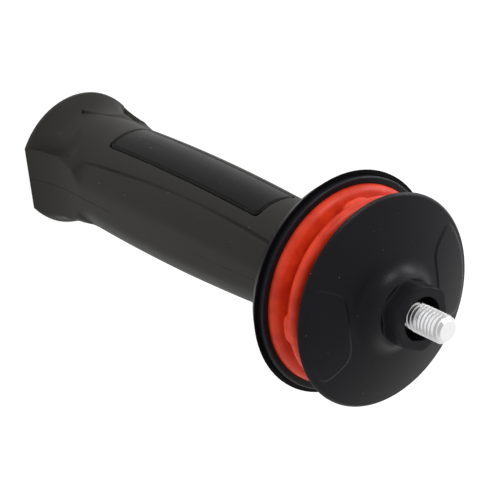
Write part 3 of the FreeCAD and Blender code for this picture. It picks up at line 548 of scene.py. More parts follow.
@dataclass
class GripForm:
    """The outer form of the grip: a bowed barrel between two flat sides, with a flared end."""

    barrel_rear_r: float = 16.3
    waist_z: float = 23.0
    barrel_front_r: float = 14.5
    front_z: float = 113.6
    barrel_bow_r: float = 678.0
    side_rim_x: float = 18.6
    side_waist_x: float = 15.85
    side_waist_z: float = 21.0
    side_front_x: float = 14.4
    side_bow_r: float = 1000.0
    side_flare_r: float = 52.0
    side_round: float = 0.3
    flare_arc_r: float = 21.8
    flare_half_height: float = 20.2
    rim_z: float = 1.3
    panel_half_height: float = 10.2
    panel_rim_r: float = 21.2
    panel_bow_r: float = 300.0
    panel_fade_z: float = 13.0
    panel_end_z: float = 23.5
    panel_round: float = 0.1
    panel_inset: float = 0.1
    web_apex_x: float = 12.9
    web_apex_y: float = 10.3
    web_overlap_x: float = 2.9
    web_hollow_z: float = 12.5
    web_hollow_y: float = 16.3
    web_edge_round: float = 0.4
    web_foot_round: float = 0.25
    crease_middle_y: float = 12.7
    crease_middle_z: float = 66.0
    crease_bow_r: float = 368.0

    def barrel(self, height: np.ndarray) -> np.ndarray:
        """Radius of the round barrel.

        Args:
            height: Heights to evaluate.

        Returns:
            The radius at each height.
        """
        start = (self.barrel_rear_r, self.waist_z)
        curved = bow(height, start, (self.barrel_front_r, self.front_z), self.barrel_bow_r)
        return np.where(height > self.waist_z, curved, self.barrel_rear_r)

    def side(self, height: np.ndarray) -> np.ndarray:
        """Half width over the flat sides.

        Args:
            height: Heights to evaluate.

        Returns:
            The half width at each height.
        """
        waist = (self.side_waist_x, self.side_waist_z)
        flare = bow(height, (self.side_rim_x, 0.0), waist, -self.side_flare_r)
        long = bow(height, waist, (self.side_front_x, self.front_z), self.side_bow_r)
        return np.where(height > self.side_waist_z, long, flare)

    def crease(self, height: np.ndarray) -> np.ndarray:
        """Distance of the crease from the middle, seen from the side."""
        fall = (height - self.crease_middle_z) ** 2 / (2 * self.crease_bow_r)
        return self.crease_middle_y - fall

    def web(self, across: np.ndarray, up: np.ndarray, height: np.ndarray) -> np.ndarray:
        """How far a point lies inside a flare web: negative outside.

        Args:
            across: Distance along X, positive.
            up: Distance along Y, positive.
            height: Height of the point.

        Returns:
            The depth of each point.
        """
        offset = self.flare_arc_r - self.flare_half_height
        rim_x = math.sqrt(self.flare_arc_r ** 2 - (self.panel_half_height + offset) ** 2)
        low = np.clip(height, self.rim_z, self.web_hollow_z)
        climb = (low - self.rim_z) / (self.waist_z - self.rim_z)
        level = (low - self.rim_z) / (self.web_hollow_z - self.rim_z)
        top = self.web_hollow_y + (self.flare_half_height - self.web_hollow_y) * (1 - level) ** 3
        near_x = rim_x + (self.web_apex_x - rim_x) * climb
        near_y = self.panel_half_height + (self.web_apex_y - self.panel_half_height) * climb
        centre = (near_x ** 2 + near_y ** 2 - top ** 2) / (2 * (near_y - top))
        radius = top - centre
        left = (self.waist_z - height) / (self.waist_z - self.web_hollow_z)
        shrink = np.clip(left, 1e-6, 1.0)
        centre_x = self.web_apex_x * (1 - shrink)
        centre_y = self.web_apex_y * (1 - shrink) + centre * shrink
        inside = radius * shrink - np.hypot(across - centre_x, up - centre_y)
        share = np.clip((height - self.rim_z) / (self.waist_z - self.rim_z), 0.0, 1.0)
        far_x = -self.web_overlap_x * (1 - share) + self.web_apex_x * share
        edge = soft_min(across - far_x, self.waist_z - height, self.web_edge_round)
        return np.minimum(inside, edge)

    def panel(self, up: np.ndarray, radius: np.ndarray, height: np.ndarray) -> np.ndarray:
        """How far a point lies inside a side panel's block: negative outside.

        Args:
            up: Distance along Y, positive.
            radius: Distance from the axis.
            height: Height of the point.

        Returns:
            The depth of each point.
        """
        start, end = (self.panel_rim_r, self.rim_z), (self.barrel_rear_r, self.waist_z)
        envelope = bow(height, start, end, -self.panel_bow_r)
        corner = np.hypot(self.side(height), self.panel_half_height) - self.panel_inset
        fade = smooth_step(self.panel_fade_z, self.panel_end_z, height)
        full = corner + (self.barrel_rear_r - corner) * fade
        envelope = np.maximum(envelope, full)
        envelope = np.where(height < self.rim_z, self.panel_rim_r, envelope)
        within = np.minimum(self.panel_half_height - up, envelope - radius)
        return np.minimum(within, self.waist_z - height)

    def depth(self, across: np.ndarray, up: np.ndarray, height: np.ndarray) -> np.ndarray:
        """How far a point lies inside the grip's form: negative outside.

        Args:
            across: Distance along X.
            up: Distance along Y.
            height: Height of the point.

        Returns:
            The depth of each point.
        """
        across, up = np.abs(across), np.abs(up)
        radius = np.hypot(across, up)
        offset = self.flare_arc_r - self.flare_half_height
        rim = np.minimum(self.flare_arc_r - np.hypot(across, up + offset), self.rim_z - height)
        web = self.web(across, up, height)
        body = soft_max(self.barrel(height) - radius, web, self.web_foot_round)
        panel = self.panel(up, radius, height)
        body = soft_max(np.maximum(body, rim), panel, self.panel_round)
        return soft_min(body, self.side(height) - across, self.side_round)


@dataclass
class Grip:
    """The soft skin with its creases and pad recess, and the pad."""

    form: GripForm = field(default_factory=GripForm)
    hole_r: float = 13.0
    hole_chamfer: float = 0.25
    wall_back: float = 1.5
    flange_r: float = 15.7
    flange_z: float = 5.0
    flange_top_z: float = 9.0
    core_rear_r: float = 14.1
    core_middle_r: float = 14.7
    core_middle_z: float = 58.0
    core_front_r: float = 12.3
    join_z: float = 26.0
    look_r: float = 2.0
    look_z: float = 0.1
    look_far: float = 40.0
    base_steps: tuple[Point, ...] = ((0.4, 0.0), (0.8, 0.0), (0.985, 0.0), (0.995, 0.06))
    flare_count: int = 96
    flare_spread: float = 1.15
    flare_from_z: float = 0.12
    long_round: float = 0.35
    recess_half: float = 7.3
    recess_rear_z: float = 27.4
    recess_front_z: float = 94.8
    recess_depth: float = 1.2
    recess_corner: float = 1.3
    recess_lip: float = 0.10
    recess_lip_width: float = 0.15
    crease_depths: tuple[Point, ...] = (
        (22.0, 0.0), (24.5, 0.42), (34.0, 0.54), (48.0, 0.42), (66.0, 0.30), (80.0, 0.38),
        (91.0, 0.50), (105.0, 0.55), (108.5, 0.0),
    )
    crease_width: float = 0.40
    crease_hollow: float = 0.35
    crease_hollow_width: float = 1.2
    wedge_z: float = 9.5
    wedge_half: float = 8.0
    wedge_depth: float = 2.4
    wedge_edge: float = 0.2
    wedge_width: float = 3.8
    pad_half: float = 7.0
    pad_rear_z: float = 27.7
    pad_front_z: float = 94.5
    pad_corner: float = 2.0
    pad_edge: float = 0.45
    pad_depth: float = 1.1
    pad_turns: tuple[int, ...] = (15, 35, 55, 75, 90)
    pad_line: tuple[Point, ...] = ((0.58, 0.0), (0.64, 0.16), (0.80, 0.16), (0.86, 0.0))
    pad_steps: tuple[float, ...] = (1.3, 2.0, 3.0, 4.0, 5.0, 6.0, 6.9)
    row_margin: float = 2.9
    front_margin: float = 1.6
    pole: Point = (10.0, -2.0)
    crease_columns: tuple[float, ...] = (0.14, 0.28, 0.42, 0.6, 0.9, 1.3)
    edge_columns: tuple[float, ...] = (
        -1.0, -0.6, -0.35, -0.2, -0.1, 0, 0.06, 0.12, 0.25, 0.5, 0.75, 1.0, 1.25, 1.5, 1.8,
    )
    recess_rows: tuple[float, ...] = (
        -0.9, -0.5, -0.25, -0.1, 0, 0.06, 0.12, 0.3, 0.55, 0.8, 1.05, 1.3, 1.6, 2.0,
    )

    def build(self) -> list[bpy.types.Object]:
        """Builds and dresses the skin and the pad.

        Returns:
            Both pieces.
        """
        skin = ring_piece("grip_skin", self.skin_rings(), Ends.JOINED, 50.0)
        Finish.SOFT_BLACK.dress(skin)
        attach(skin, "grip")
        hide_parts("grip_sleeve")
        pad = self.pad()
        Finish.PAD_BLACK.dress(pad)
        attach(pad, "grip")
        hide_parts("top_inlay")
        return [skin, pad]

    def crease_angle(self, height: float) -> float:
        """Angle of the crease round the barrel, in radians."""
        level = np.array(height)
        return math.asin(float(self.form.crease(level)) / float(self.form.barrel(level)))

    def columns(self, height: float, crease: float | None = None) -> np.ndarray:
        """Angles round the grip at one height, close together along the crease and the pad.

        Args:
            height: Height of the ring on the barrel.
            crease: Angle of the crease, where it isn't the barrel's own.

        Returns:
            The angles, in radians, symmetric about both planes.
        """
        radius = float(self.form.barrel(np.array(height)))
        if crease is None:
            crease = self.crease_angle(height)
        before = tuple(-step for step in reversed(self.crease_columns))
        fine_crease = crease + np.array((*before, 0, *self.crease_columns)) / radius
        fine_edge = math.acos(self.recess_half / radius) + np.array(self.edge_columns) / radius
        middle = np.linspace(0, fine_crease[0], 26)[:-1]
        between = np.linspace(fine_crease[-1], fine_edge[0], 9)[1:-1]
        top = np.linspace(fine_edge[-1], math.pi / 2, 15)[1:]
        quarter = np.concatenate((middle, fine_crease, between, fine_edge, top))
        half = np.concatenate((quarter, math.pi - quarter[-2::-1]))
        return np.concatenate((half, FULL_TURN - half[-2:0:-1]))

    def skin_rings(self) -> np.ndarray:
        """Runs from the front down inside the skin, round its rear end and back up outside.

        Returns:
            The skin's rings.
        """
        flare = self.flare_rings()
        rim_r = np.hypot(flare[0][:, 0], flare[0][:, 1])
        cos, sin = flare[0][:, 0] / rim_r, flare[0][:, 1] / rim_r
        inner = (
            (self.core_front_r, self.form.front_z), (self.core_middle_r, self.core_middle_z),
            (self.core_rear_r, self.form.waist_z), (self.core_rear_r, self.flange_top_z),
            (self.flange_r, self.flange_z), (self.flange_r, self.wall_back),
            (self.hole_r, self.wall_back), (self.hole_r, self.hole_chamfer),
            (self.hole_r + self.hole_chamfer, 0.0),
        )
        rings = [level_ring(radius, cos, sin, height) for radius, height in inner]
        for share, height in self.base_steps:
            rings.append(level_ring(self.hole_r + (rim_r - self.hole_r) * share, cos, sin, height))
        return np.array(rings + flare + self.long_rings())

    def reach(self, start: Point, turn: np.ndarray, angles: np.ndarray) -> np.ndarray:
        """Distance from a point of each section to the form's surface.

        Args:
            start: Radius and height that the look starts from, inside the form.
            turn: Direction of the look in each section, up from straight outwards.
            angles: Angles of the sections round the axis.

        Returns:
            The distance in each section.
        """
        cos, sin, run, rise = np.cos(angles), np.sin(angles), np.cos(turn), np.sin(turn)
        near, far = np.zeros_like(angles), np.full_like(angles, self.look_far)
        for _ in range(30):
            middle = (near + far) / 2
            radius = start[0] + run * middle
            depth = self.form.depth(radius * cos, radius * sin, start[1] + rise * middle)
            near, far = np.where(depth > 0, middle, near), np.where(depth > 0, far, middle)
        return near

    def flare_rings(self) -> list[np.ndarray]:
        """Covers the flared end with rings whose fine columns follow the side panels' edges.

        Returns:
            The rings, from the rim up to where the long rings start.
        """
        half_height = self.form.panel_half_height
        end = self.crease_angle(self.join_z)
        crease = math.asin(half_height / self.form.panel_rim_r)
        rings = []
        for share in np.linspace(0, 1, self.flare_count) ** self.flare_spread:
            for _ in range(3):
                angles = self.columns(self.join_z, None if share == 1 else crease)
                radius, height = self.flare_section(share, angles)
                near = int(np.argmin(np.abs(angles - crease)))
                edge_y = half_height
                if height[near] >= self.form.waist_z:
                    edge_y = min(half_height, float(self.form.crease(height[near])))
                crease = min(math.asin(edge_y / radius[near]), end)
            points = np.stack((radius * np.cos(angles), radius * np.sin(angles), height), axis=1)
            rings.append(self.carve(points))
        return rings

    def flare_section(self, share: float, angles: np.ndarray) -> tuple[np.ndarray, np.ndarray]:
        """Looks from the pole onto the flare in the direction of one ring.

        Args:
            share: The ring's place, from 0 at the rim to 1 where the long rings start.
            angles: Angles of the ring's points round the axis.

        Returns:
            Radius and height of each point.
        """
        pole_r, pole_z = self.pole
        flat = np.zeros_like(angles)
        rim_r = self.reach((self.look_r, self.look_z), flat, angles) + self.look_r
        join_r = self.reach((self.look_r, self.join_z), flat, angles) + self.look_r
        first = np.arctan2(self.flare_from_z - pole_z, rim_r - pole_r)
        last = np.arctan2(self.join_z - pole_z, join_r - pole_r)
        turn = first + (last - first) * share
        distance = self.reach(self.pole, turn, angles)
        return pole_r + distance * np.cos(turn), pole_z + distance * np.sin(turn)

    def long_rings(self) -> list[np.ndarray]:
        """Covers the barrel from behind the pad up to the guard.

        Returns:
            The rings.
        """
        fine = np.array(self.recess_rows)
        middle = self.recess_rear_z + self.row_margin, self.recess_front_z - self.row_margin
        heights = np.concatenate((
            self.recess_rear_z + fine,
            np.linspace(*middle, 66),
            self.recess_front_z - fine[::-1],
            np.linspace(self.recess_front_z + self.front_margin, self.form.front_z, 20),
        ))
        rings = []
        for height in heights:
            angles = self.columns(height)
            cos, sin = np.cos(angles), np.sin(angles)
            side = self.form.side(height) / np.maximum(np.abs(cos), 1e-4)
            radius = soft_min(np.full_like(side, self.form.barrel(height)), side, self.long_round)
            rings.append(self.carve(level_ring(radius, cos, sin, height)))
        return rings

    def carve(self, points: np.ndarray) -> np.ndarray:
        """Sinks the creases, the wedges over the panels and the pad's recess into the form.

        Args:
            points: Points on the outer form.

        Returns:
            The points, moved towards the axis.
        """
        across, up, height = points.T
        radius = np.hypot(across, up)
        deep = np.interp(height, *zip(*self.crease_depths))
        slant = np.maximum(np.abs(across) / radius, 0.3)
        away = (np.abs(up) - self.form.crease(height)) / slant
        sink = deep * np.exp(-(away / self.crease_width) ** 4)
        sink += deep * self.crease_hollow * np.exp(-(away / self.crease_hollow_width) ** 2)
        above = np.abs(up) - self.form.panel_half_height
        long = np.clip(1 - ((height - self.wedge_z) / self.wedge_half) ** 2, 0, 1)
        beside = smooth_step(0.0, self.wedge_edge, above)
        fade = 1 - smooth_step(self.wedge_edge, self.wedge_width, above)
        sink += self.wedge_depth * long * beside * fade
        sink += self.recess(across, up, height) * self.recess_depth
        scale = (radius - sink) / radius
        return np.stack((across * scale, up * scale, height), axis=1)

    def recess(self, across: np.ndarray, up: np.ndarray, height: np.ndarray) -> np.ndarray:
        """How much of the recess's depth each point sinks.

        Args:
            across: Distance along X.
            up: Distance along Y.
            height: Height of the point.

        Returns:
            The share: 1 inside the recess's outline, and a little on its lip.
        """
        width = np.abs(across) - self.recess_half + self.recess_corner
        length = np.abs(height - (self.recess_rear_z + self.recess_front_z) / 2)
        length -= (self.recess_front_z - self.recess_rear_z) / 2 - self.recess_corner
        outside = np.hypot(np.maximum(width, 0), np.maximum(length, 0))
        outside += np.minimum(np.maximum(width, length), 0) - self.recess_corner
        lip = self.recess_lip * np.exp(-np.maximum(outside, 0) / self.recess_lip_width)
        return np.where(outside < 0.0, 1.0, lip) * (up < 0)

    def pad_loop(self, inset: float, drop: float) -> np.ndarray:
        """One loop of points round the pad.

        Args:
            inset: Distance from the pad's edge.
            drop: Depth below the barrel's surface.

        Returns:
            The points.
        """
        corner = max(self.pad_corner - inset, 0.05)
        half = self.pad_half - inset
        low, high = self.pad_rear_z + inset, self.pad_front_z - inset
        right, left, bottom, top = half - corner, corner - half, low + corner, high - corner
        long_side = np.linspace(bottom, top, 50)[1:-1]
        short_side = np.linspace(left, right, 14)[1:-1]
        quarter = math.pi / 2
        turns = np.linspace(0, quarter, 9)
        flat = [(half, z) for z in long_side] + arc((right, top), corner, turns)
        flat += [(x, high) for x in short_side[::-1]]
        flat += arc((left, top), corner, turns + quarter)
        flat += [(-half, z) for z in long_side[::-1]]
        flat += arc((left, bottom), corner, turns + 2 * quarter)
        flat += [(x, low) for x in short_side]
        flat += arc((right, bottom), corner, turns + 3 * quarter)
        across, height = np.array(flat).T
        radius = self.form.barrel(height) - drop
        return np.stack((across, -np.sqrt(radius ** 2 - across ** 2), height), axis=1)

    def pad(self) -> bpy.types.Object:
        """Makes the smooth pad with its rounded edge and the fine line inside it.

        Returns:
            The pad.
        """
        edge, deepest = self.pad_edge, self.pad_steps[-1]
        steps = [(deepest, self.pad_depth), (0.0, self.pad_depth), (0.0, edge)]
        for turn in np.radians(self.pad_turns):
            steps.append((edge - edge * math.cos(turn), edge - edge * math.sin(turn)))
        steps += self.pad_line
        steps += [(inset, 0.0) for inset in self.pad_steps]
        loops = np.array([self.pad_loop(*step) for step in steps])
        return ring_piece("grip_pad", loops, Ends.CAPPED, 50.0)


# The damped joint


@dataclass
class Bellows:
    """The red bellows in two blended lengths that meet in its valley."""

    roll_ring: float = 25.65
    roll_r: float = 2.6
    roll_z: float = 122.6
    foot_z: float = 120.2
    wall: float = 1.8
    valley_ring: float = 23.6
    valley_r: float = 0.9
    ridge_ring: float = 25.006
    ridge_r: float = 2.0
    ridge_z: float = 129.5
    valley_lean: float = 61.0
    plate_z: float = 131.6
    lobe_half: float = 10.0
    lobe_reach: float = 1.3
    lobe_sink: float = 0.45
    lobe_from_r: Span = (23.2, 24.2)
    lobe_rise_z: Span = (125.9, 127.2)
    lobe_fall_z: Span = (127.4, 128.9)
    columns: int = 288

    def build(self) -> list[bpy.types.Object]:
        """Builds and dresses both lengths.

        Returns:
            Both pieces.
        """
        fall = (self.ridge_r + self.valley_r) * math.sin(math.radians(self.valley_lean))
        valley_z = self.ridge_z - fall
        rear_rings = self.turned(self.rear_profile(valley_z))
        front_rings = self.turned(self.front_profile(valley_z))
        rear = ring_piece("bellows_roll", rear_rings, Ends.JOINED, 60.0)
        front = ring_piece("bellows_ridge", front_rings, Ends.JOINED, 60.0)
        Finish.RED_ELASTOMER.dress(rear, front)
        self.foot_z * MM
        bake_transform(rear)
        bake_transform(front)
        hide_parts("damper_bellows")
        return [rear, front]

    def slope(self, valley_z: float) -> float:
        """Lean of the straight wall between roll and valley, in radians."""
        rise, run = valley_z - self.roll_z, self.roll_ring - self.valley_ring
        reach = (self.roll_r + self.valley_r) / math.hypot(rise, run)
        return math.atan2(rise, run) - math.asin(reach)

    def rear_profile(self, valley_z: float) -> list[Point]:
        """Outline of the wide roll up to the valley.

        Args:
            valley_z: Height of the valley.

        Returns:
            The closed outline's points.
        """
        top = math.pi / 2 - self.slope(valley_z)
        roll, valley = (self.roll_ring, self.roll_z), (self.valley_ring, valley_z)
        outer = [(self.roll_ring + self.roll_r, self.foot_z)]
        outer += arc(roll, self.roll_r, np.linspace(0, top, 20))
        outer += arc(valley, self.valley_r, np.linspace(-math.pi + top, -math.pi, 8))
        thick, small = self.valley_r + self.wall, self.roll_r - self.wall
        inner = [(self.valley_ring - thick, valley_z)]
        inner += arc(valley, thick, np.linspace(-math.pi, -math.pi + top, 5)[1:])
        inner += arc(roll, small, (top,))
        inner += [(self.roll_ring + small, self.roll_z), (self.roll_ring + small, self.foot_z)]
        return outer + inner

    def front_profile(self, valley_z: float) -> list[Point]:
        """Outline from the valley over the narrow ridge to the plate.

        Args:
            valley_z: Height of the valley.

        Returns:
            The closed outline's points.
        """
        lean = math.radians(self.valley_lean)
        ridge, valley = (self.ridge_ring, self.ridge_z), (self.valley_ring, valley_z)
        outer = arc(valley, self.valley_r, np.linspace(math.pi, lean, 10))
        outer += arc(ridge, self.ridge_r, np.linspace(lean - math.pi, math.pi / 2, 30)[1:])
        thin, lip = self.ridge_r - self.wall, self.ridge_ring - 2 * self.wall
        inner = [(self.ridge_ring, self.plate_z), (lip, self.plate_z)]
        inner += [(lip, self.ridge_z + thin), (self.ridge_ring, self.ridge_z + thin)]
        inner += arc(ridge, -thin, (lean,))
        inner += arc(valley, self.valley_r + self.wall, np.linspace(lean, math.pi, 6))
        return outer + inner

    def turned(self, profile: list[Point]) -> np.ndarray:
        """Turns an outline about the axis and swells its four lobes.

        Args:
            profile: Radius and height of the outline's points.

        Returns:
            One ring for each point.
        """
        angles = np.linspace(0, FULL_TURN, self.columns, endpoint=False)
        radius, height = np.array(profile)[:, :1], np.array(profile)[:, 1:]
        off = np.degrees(np.abs((angles + math.pi / 4) % (math.pi / 2) - math.pi / 4))[None, :]
        lens = np.clip(1 - (off / self.lobe_half) ** 4, 0, 1)
        outward = smooth_step(*self.lobe_from_r, radius)
        fall = 1 - smooth_step(*self.lobe_fall_z, height)
        behind = smooth_step(*self.lobe_rise_z, height) * fall
        swell = self.lobe_reach * lens * outward * behind
        spread, sunk = radius + swell, height - swell * self.lobe_sink
        cos, sin = np.cos(angles)[None, :], np.sin(angles)[None, :]
        return np.stack((spread * cos, spread * sin, sunk), axis=-1)


# The stud


@dataclass
class Stud:
    """The threaded stud with its collar and rear shank."""

    outer_r: float = 4.0
    pitch: float = 1.25
    crest: float = 0.10
    thread_share: float = 0.68
    tip_z: float = 160.9
    chamfer: float = 1.2
    chamfer_round: float = 0.12
    collar_top_z: float = 143.3
    collar_bottom_z: float = 137.3
    collar_flats: float = 13.0
    collar_hole_r: float = 3.0
    shank_r: float = 3.0
    shank_end_z: float = 96.4
    shank_chamfer: float = 0.4
    columns: int = 96
    turn_rows: int = 20
    collar_columns: int = 48

    def build(self) -> list[bpy.types.Object]:
        """Builds and dresses the stud.

        Returns:
            The thread, and the collar with the shank.
        """
        thread = self.thread()
        collar = ring_piece("stud_collar", self.collar_rings(), Ends.CAPPED, 30.0)
        for piece in (thread, collar):
            Finish.ZINC_STEEL.dress(piece)
            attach(piece, "head")
        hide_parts("threaded_stud")
        return [thread, collar]

    def thread(self) -> bpy.types.Object:
        """Makes the right-hand thread, whose rows of points climb with its helix.

        Returns:
            The threaded length.
        """
        rise = self.pitch / self.turn_rows
        first = math.floor((self.collar_top_z - self.pitch) / rise) * rise
        rows = math.ceil((self.tip_z + self.pitch - first) / rise) + 1
        turn = np.linspace(0, FULL_TURN, self.columns, endpoint=False)[None, :]
        climb = first + rise * np.arange(rows)[:, None] + self.pitch * turn / FULL_TURN
        height = np.clip(climb, self.collar_top_z, self.tip_z)
        radius = self.thread_radius(turn, height)
        points = np.stack((radius * np.cos(turn), radius * np.sin(turn), height), axis=-1)
        index = np.arange(rows * self.columns).reshape(rows, self.columns)
        beyond = np.full(self.turn_rows, -1)
        wrapped = np.append(index[self.turn_rows:, 0], beyond)[:, None]
        ahead = np.hstack((index[:, 1:], wrapped))
        corners = (index[:-1], ahead[:-1], ahead[1:], index[1:])
        faces = np.stack(corners, axis=-1).reshape(-1, 4)
        faces = faces[np.all(faces > beyond[0], axis=1)]
        faces = faces[np.ptp(height.reshape(-1)[faces], axis=1) > 0]
        ends = [index[0][::-1].tolist(), index[-1].tolist()]
        return face_piece("stud_thread", points.reshape(-1, 3), faces.tolist() + ends, 35.0)

    def thread_radius(self, turn: np.ndarray, height: np.ndarray) -> np.ndarray:
        """Radius of the thread, with a chamfer at the tip.

        Args:
            turn: Angles round the axis.
            height: Heights of the points.

        Returns:
            The radius of each point.
        """
        share = ((height - self.pitch * turn / FULL_TURN) / self.pitch) % 1.0
        sharp_depth = self.pitch * math.sqrt(3) / 2
        depth = np.clip(np.abs(share - 0.5) * 2 - self.crest, 0, self.thread_share) * sharp_depth
        limit = self.outer_r - np.maximum(height - (self.tip_z - self.chamfer), 0)
        return soft_min(self.outer_r - depth, limit, self.chamfer_round)

    def collar_rings(self) -> np.ndarray:
        """Runs up the hidden shank and over the hexagon collar.

        Returns:
            The rings.
        """
        angles = np.linspace(0, FULL_TURN, self.collar_columns, endpoint=False)
        cos, sin = np.cos(angles), np.sin(angles)
        hexagon = self.collar_flats / 2 / np.cos(off_flat(angles))
        levels = (
            (self.shank_r - self.shank_chamfer, self.shank_end_z),
            (self.shank_r, self.shank_end_z + self.shank_chamfer),
            (self.shank_r, self.collar_bottom_z), (hexagon, self.collar_bottom_z),
            (hexagon, self.collar_top_z), (self.collar_hole_r, self.collar_top_z),
        )
        return np.array([level_ring(radius, cos, sin, height) for radius, height in levels])


# The front disc's face


@dataclass
class DiscFace:
    """The moulded face of the front disc: dome, side fields, fillet and hexagon boss."""

    lift: float = 0.04
    rim_r: float = 30.0
    rim_z: float = 136.2
    rim_cover: float = 0.01
    rim_drop: float = 0.1
    rim_edge: float = 0.02
    rim_inset: float = 0.3
    bevel: float = 0.75
    bevel_start: Point = (0.1, 0.02)
    bevel_end: Point = (0.08, 0.16)
    dome_r: float = 89.5
    dome_stop: float = 0.12
    fillet_r: float = 6.0
    foot_r: float = 9.35
    foot_ledge: float = 0.15
    foot_bend: tuple[Point, ...] = ((0.0, 0.12), (0.06, 0.03))
    foot_cover: float = 0.04
    foot_dip: float = 0.05
    ledge_inset: float = 0.14
    flats: float = 17.0
    corner_r: float = 4.0
    boss_top: float = 151.3
    boss_round: float = 0.35
    boss_stop: float = 0.55
    well_r: float = 6.18
    well_lip: float = 0.12
    well_cover: float = 1.5
    well_wall: float = 0.6
    field_x: float = 15.9
    field_r: float = 28.0
    field_spread: float = 31.0
    field_corner: float = 3.0
    field_rise: float = 0.3
    field_slope: float = 0.38
    fine_from_r: float = 20.0
    depth: float = 0.8
    back_r: float = 22.0
    back_gap: float = 1.0
    columns: int = 600

    def build(self) -> list[bpy.types.Object]:
        """Builds and dresses the face.

        Returns:
            The face.
        """
        face = ring_piece("disc_face", self.rings(), Ends.JOINED, 38.0)
        Finish.HARD_BLACK.dress(face)
        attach(face, "head")
        return [face]

    def dome_z(self, radius: float) -> float:
        """Height of the dome at a radius.

        Args:
            radius: Distance from the axis.

        Returns:
            The height.
        """
        edge_r = self.rim_r - self.bevel
        edge_z = self.rim_z + self.bevel + self.lift
        centre = edge_z - math.sqrt(self.dome_r ** 2 - edge_r ** 2)
        return centre + math.sqrt(self.dome_r ** 2 - radius ** 2)

    def fillet_centre(self) -> Point:
        """Radius and height of the centre that the fillet is struck from.

        Returns:
            Both numbers.
        """
        radius = self.foot_r - self.foot_ledge + self.fillet_r
        centre = self.dome_z(0.0) - self.dome_r
        return radius, centre + math.sqrt((self.dome_r + self.fillet_r) ** 2 - radius ** 2)

    def foot_z(self) -> float:
        """Height of the ledge that the boss stands on."""
        rise = math.sqrt(self.foot_ledge * (2 * self.fillet_r - self.foot_ledge))
        return self.fillet_centre()[1] - rise

    def hexagon(self, angles: np.ndarray, inset: float) -> np.ndarray:
        """Radius of the boss's rounded hexagon, with flats towards +X and -X.

        Args:
            angles: Angles round the axis.
            inset: Distance inside the boss's own outline.

        Returns:
            The radius at each angle.
        """
        apothem = self.flats / 2 - inset
        corner = self.corner_r - inset
        bend = off_flat(angles)
        flat = apothem / np.cos(bend)
        centre = (apothem - corner) / math.cos(math.pi / 6)
        off = math.pi / 6 - np.abs(bend)
        under = np.maximum(corner ** 2 - (centre * np.sin(off)) ** 2, 0)
        rounded = centre * np.cos(off) + np.sqrt(under)
        touch = math.atan2((apothem - corner) * math.tan(math.pi / 6), apothem)
        return np.where(np.abs(bend) > touch, rounded, flat)

    def field_height(self, radius: float, angles: np.ndarray) -> np.ndarray:
        """Rise of the side fields above the dome.

        Args:
            radius: Distance from the axis.
            angles: Angles round the axis.

        Returns:
            The rise at each angle.
        """
        across, up = np.abs(radius * np.cos(angles)), np.abs(radius * np.sin(angles))
        spread = math.radians(self.field_spread)
        beyond = up * math.cos(spread) - across * math.sin(spread)
        outside = soft_max(self.field_x - across, beyond, self.field_corner)
        outside = soft_max(outside, radius - self.field_r, self.field_corner)
        return self.field_rise * (1 - smooth_step(-self.field_slope, self.field_slope, outside))

    def boss(self, angles: np.ndarray) -> list[Loop]:
        """Runs from the well over the boss's top and down its sides to the ledge at its foot.

        Args:
            angles: Angles round the axis.

        Returns:
            Radius and height of each loop.
        """
        top, foot_z, bend = self.boss_top + self.lift, self.foot_z(), self.boss_round
        outline = self.hexagon(angles, -self.lift)
        loops: list[Loop] = [(self.well_r, top - self.well_cover)]
        loops += [(self.well_r, top - self.well_lip), (self.well_r + self.well_lip, top)]
        for share in (0.25, 0.6):
            loops.append((self.well_r + (outline - bend - self.well_r) * share, top))
        for turn in np.radians(np.linspace(90, 0, 6)):
            edge = outline - bend + bend * math.cos(turn)
            loops.append((edge, top - bend + bend * math.sin(turn)))
        for share in (0.3, 0.6, 0.85):
            loops.append((outline, top - bend + (foot_z - top + self.boss_stop) * share))
        loops += [(outline + out, foot_z + rise) for out, rise in self.foot_bend]
        ledge_r = self.foot_r - self.ledge_inset
        for share in (0.5, 1.0):
            loops.append((outline + (ledge_r - outline) * share, foot_z))
        return loops + [(self.foot_r - self.foot_cover, foot_z - self.foot_dip)]

    def front(self, angles: np.ndarray) -> list[Loop]:
        """Runs from the ledge over the fillet and the dome round the rim.

        Args:
            angles: Angles round the axis.

        Returns:
            Radius and height of each loop.
        """
        hollow_r, hollow_z = self.fillet_centre()
        join_r = hollow_r / (1 + self.fillet_r / self.dome_r)
        start = math.acos((hollow_r - self.foot_r) / self.fillet_r)
        end = math.acos((hollow_r - join_r) / self.fillet_r)
        fillet = np.linspace(start, end, 14)[1:]
        loops: list[Loop] = list(arc((hollow_r, hollow_z), -self.fillet_r, fillet))
        edge_r, outer_r = self.rim_r - self.bevel, self.rim_r + self.rim_cover
        inner = np.linspace(join_r, self.fine_from_r, 28)[1:]
        outer = np.linspace(self.fine_from_r, edge_r - self.dome_stop, 42)[1:]
        for radius in np.concatenate((inner, outer)):
            loops.append((radius, self.dome_z(radius) + self.field_height(radius, angles)))
        (near, sunk), (short, rise) = self.bevel_start, self.bevel_end
        loops.append((edge_r + near, self.dome_z(edge_r) - sunk))
        loops += [(self.rim_r - short, self.rim_z + rise), (outer_r, self.rim_z + self.rim_edge)]
        low = self.rim_z - self.rim_drop
        return loops + [(outer_r, low), (self.rim_r - self.rim_inset, low)]

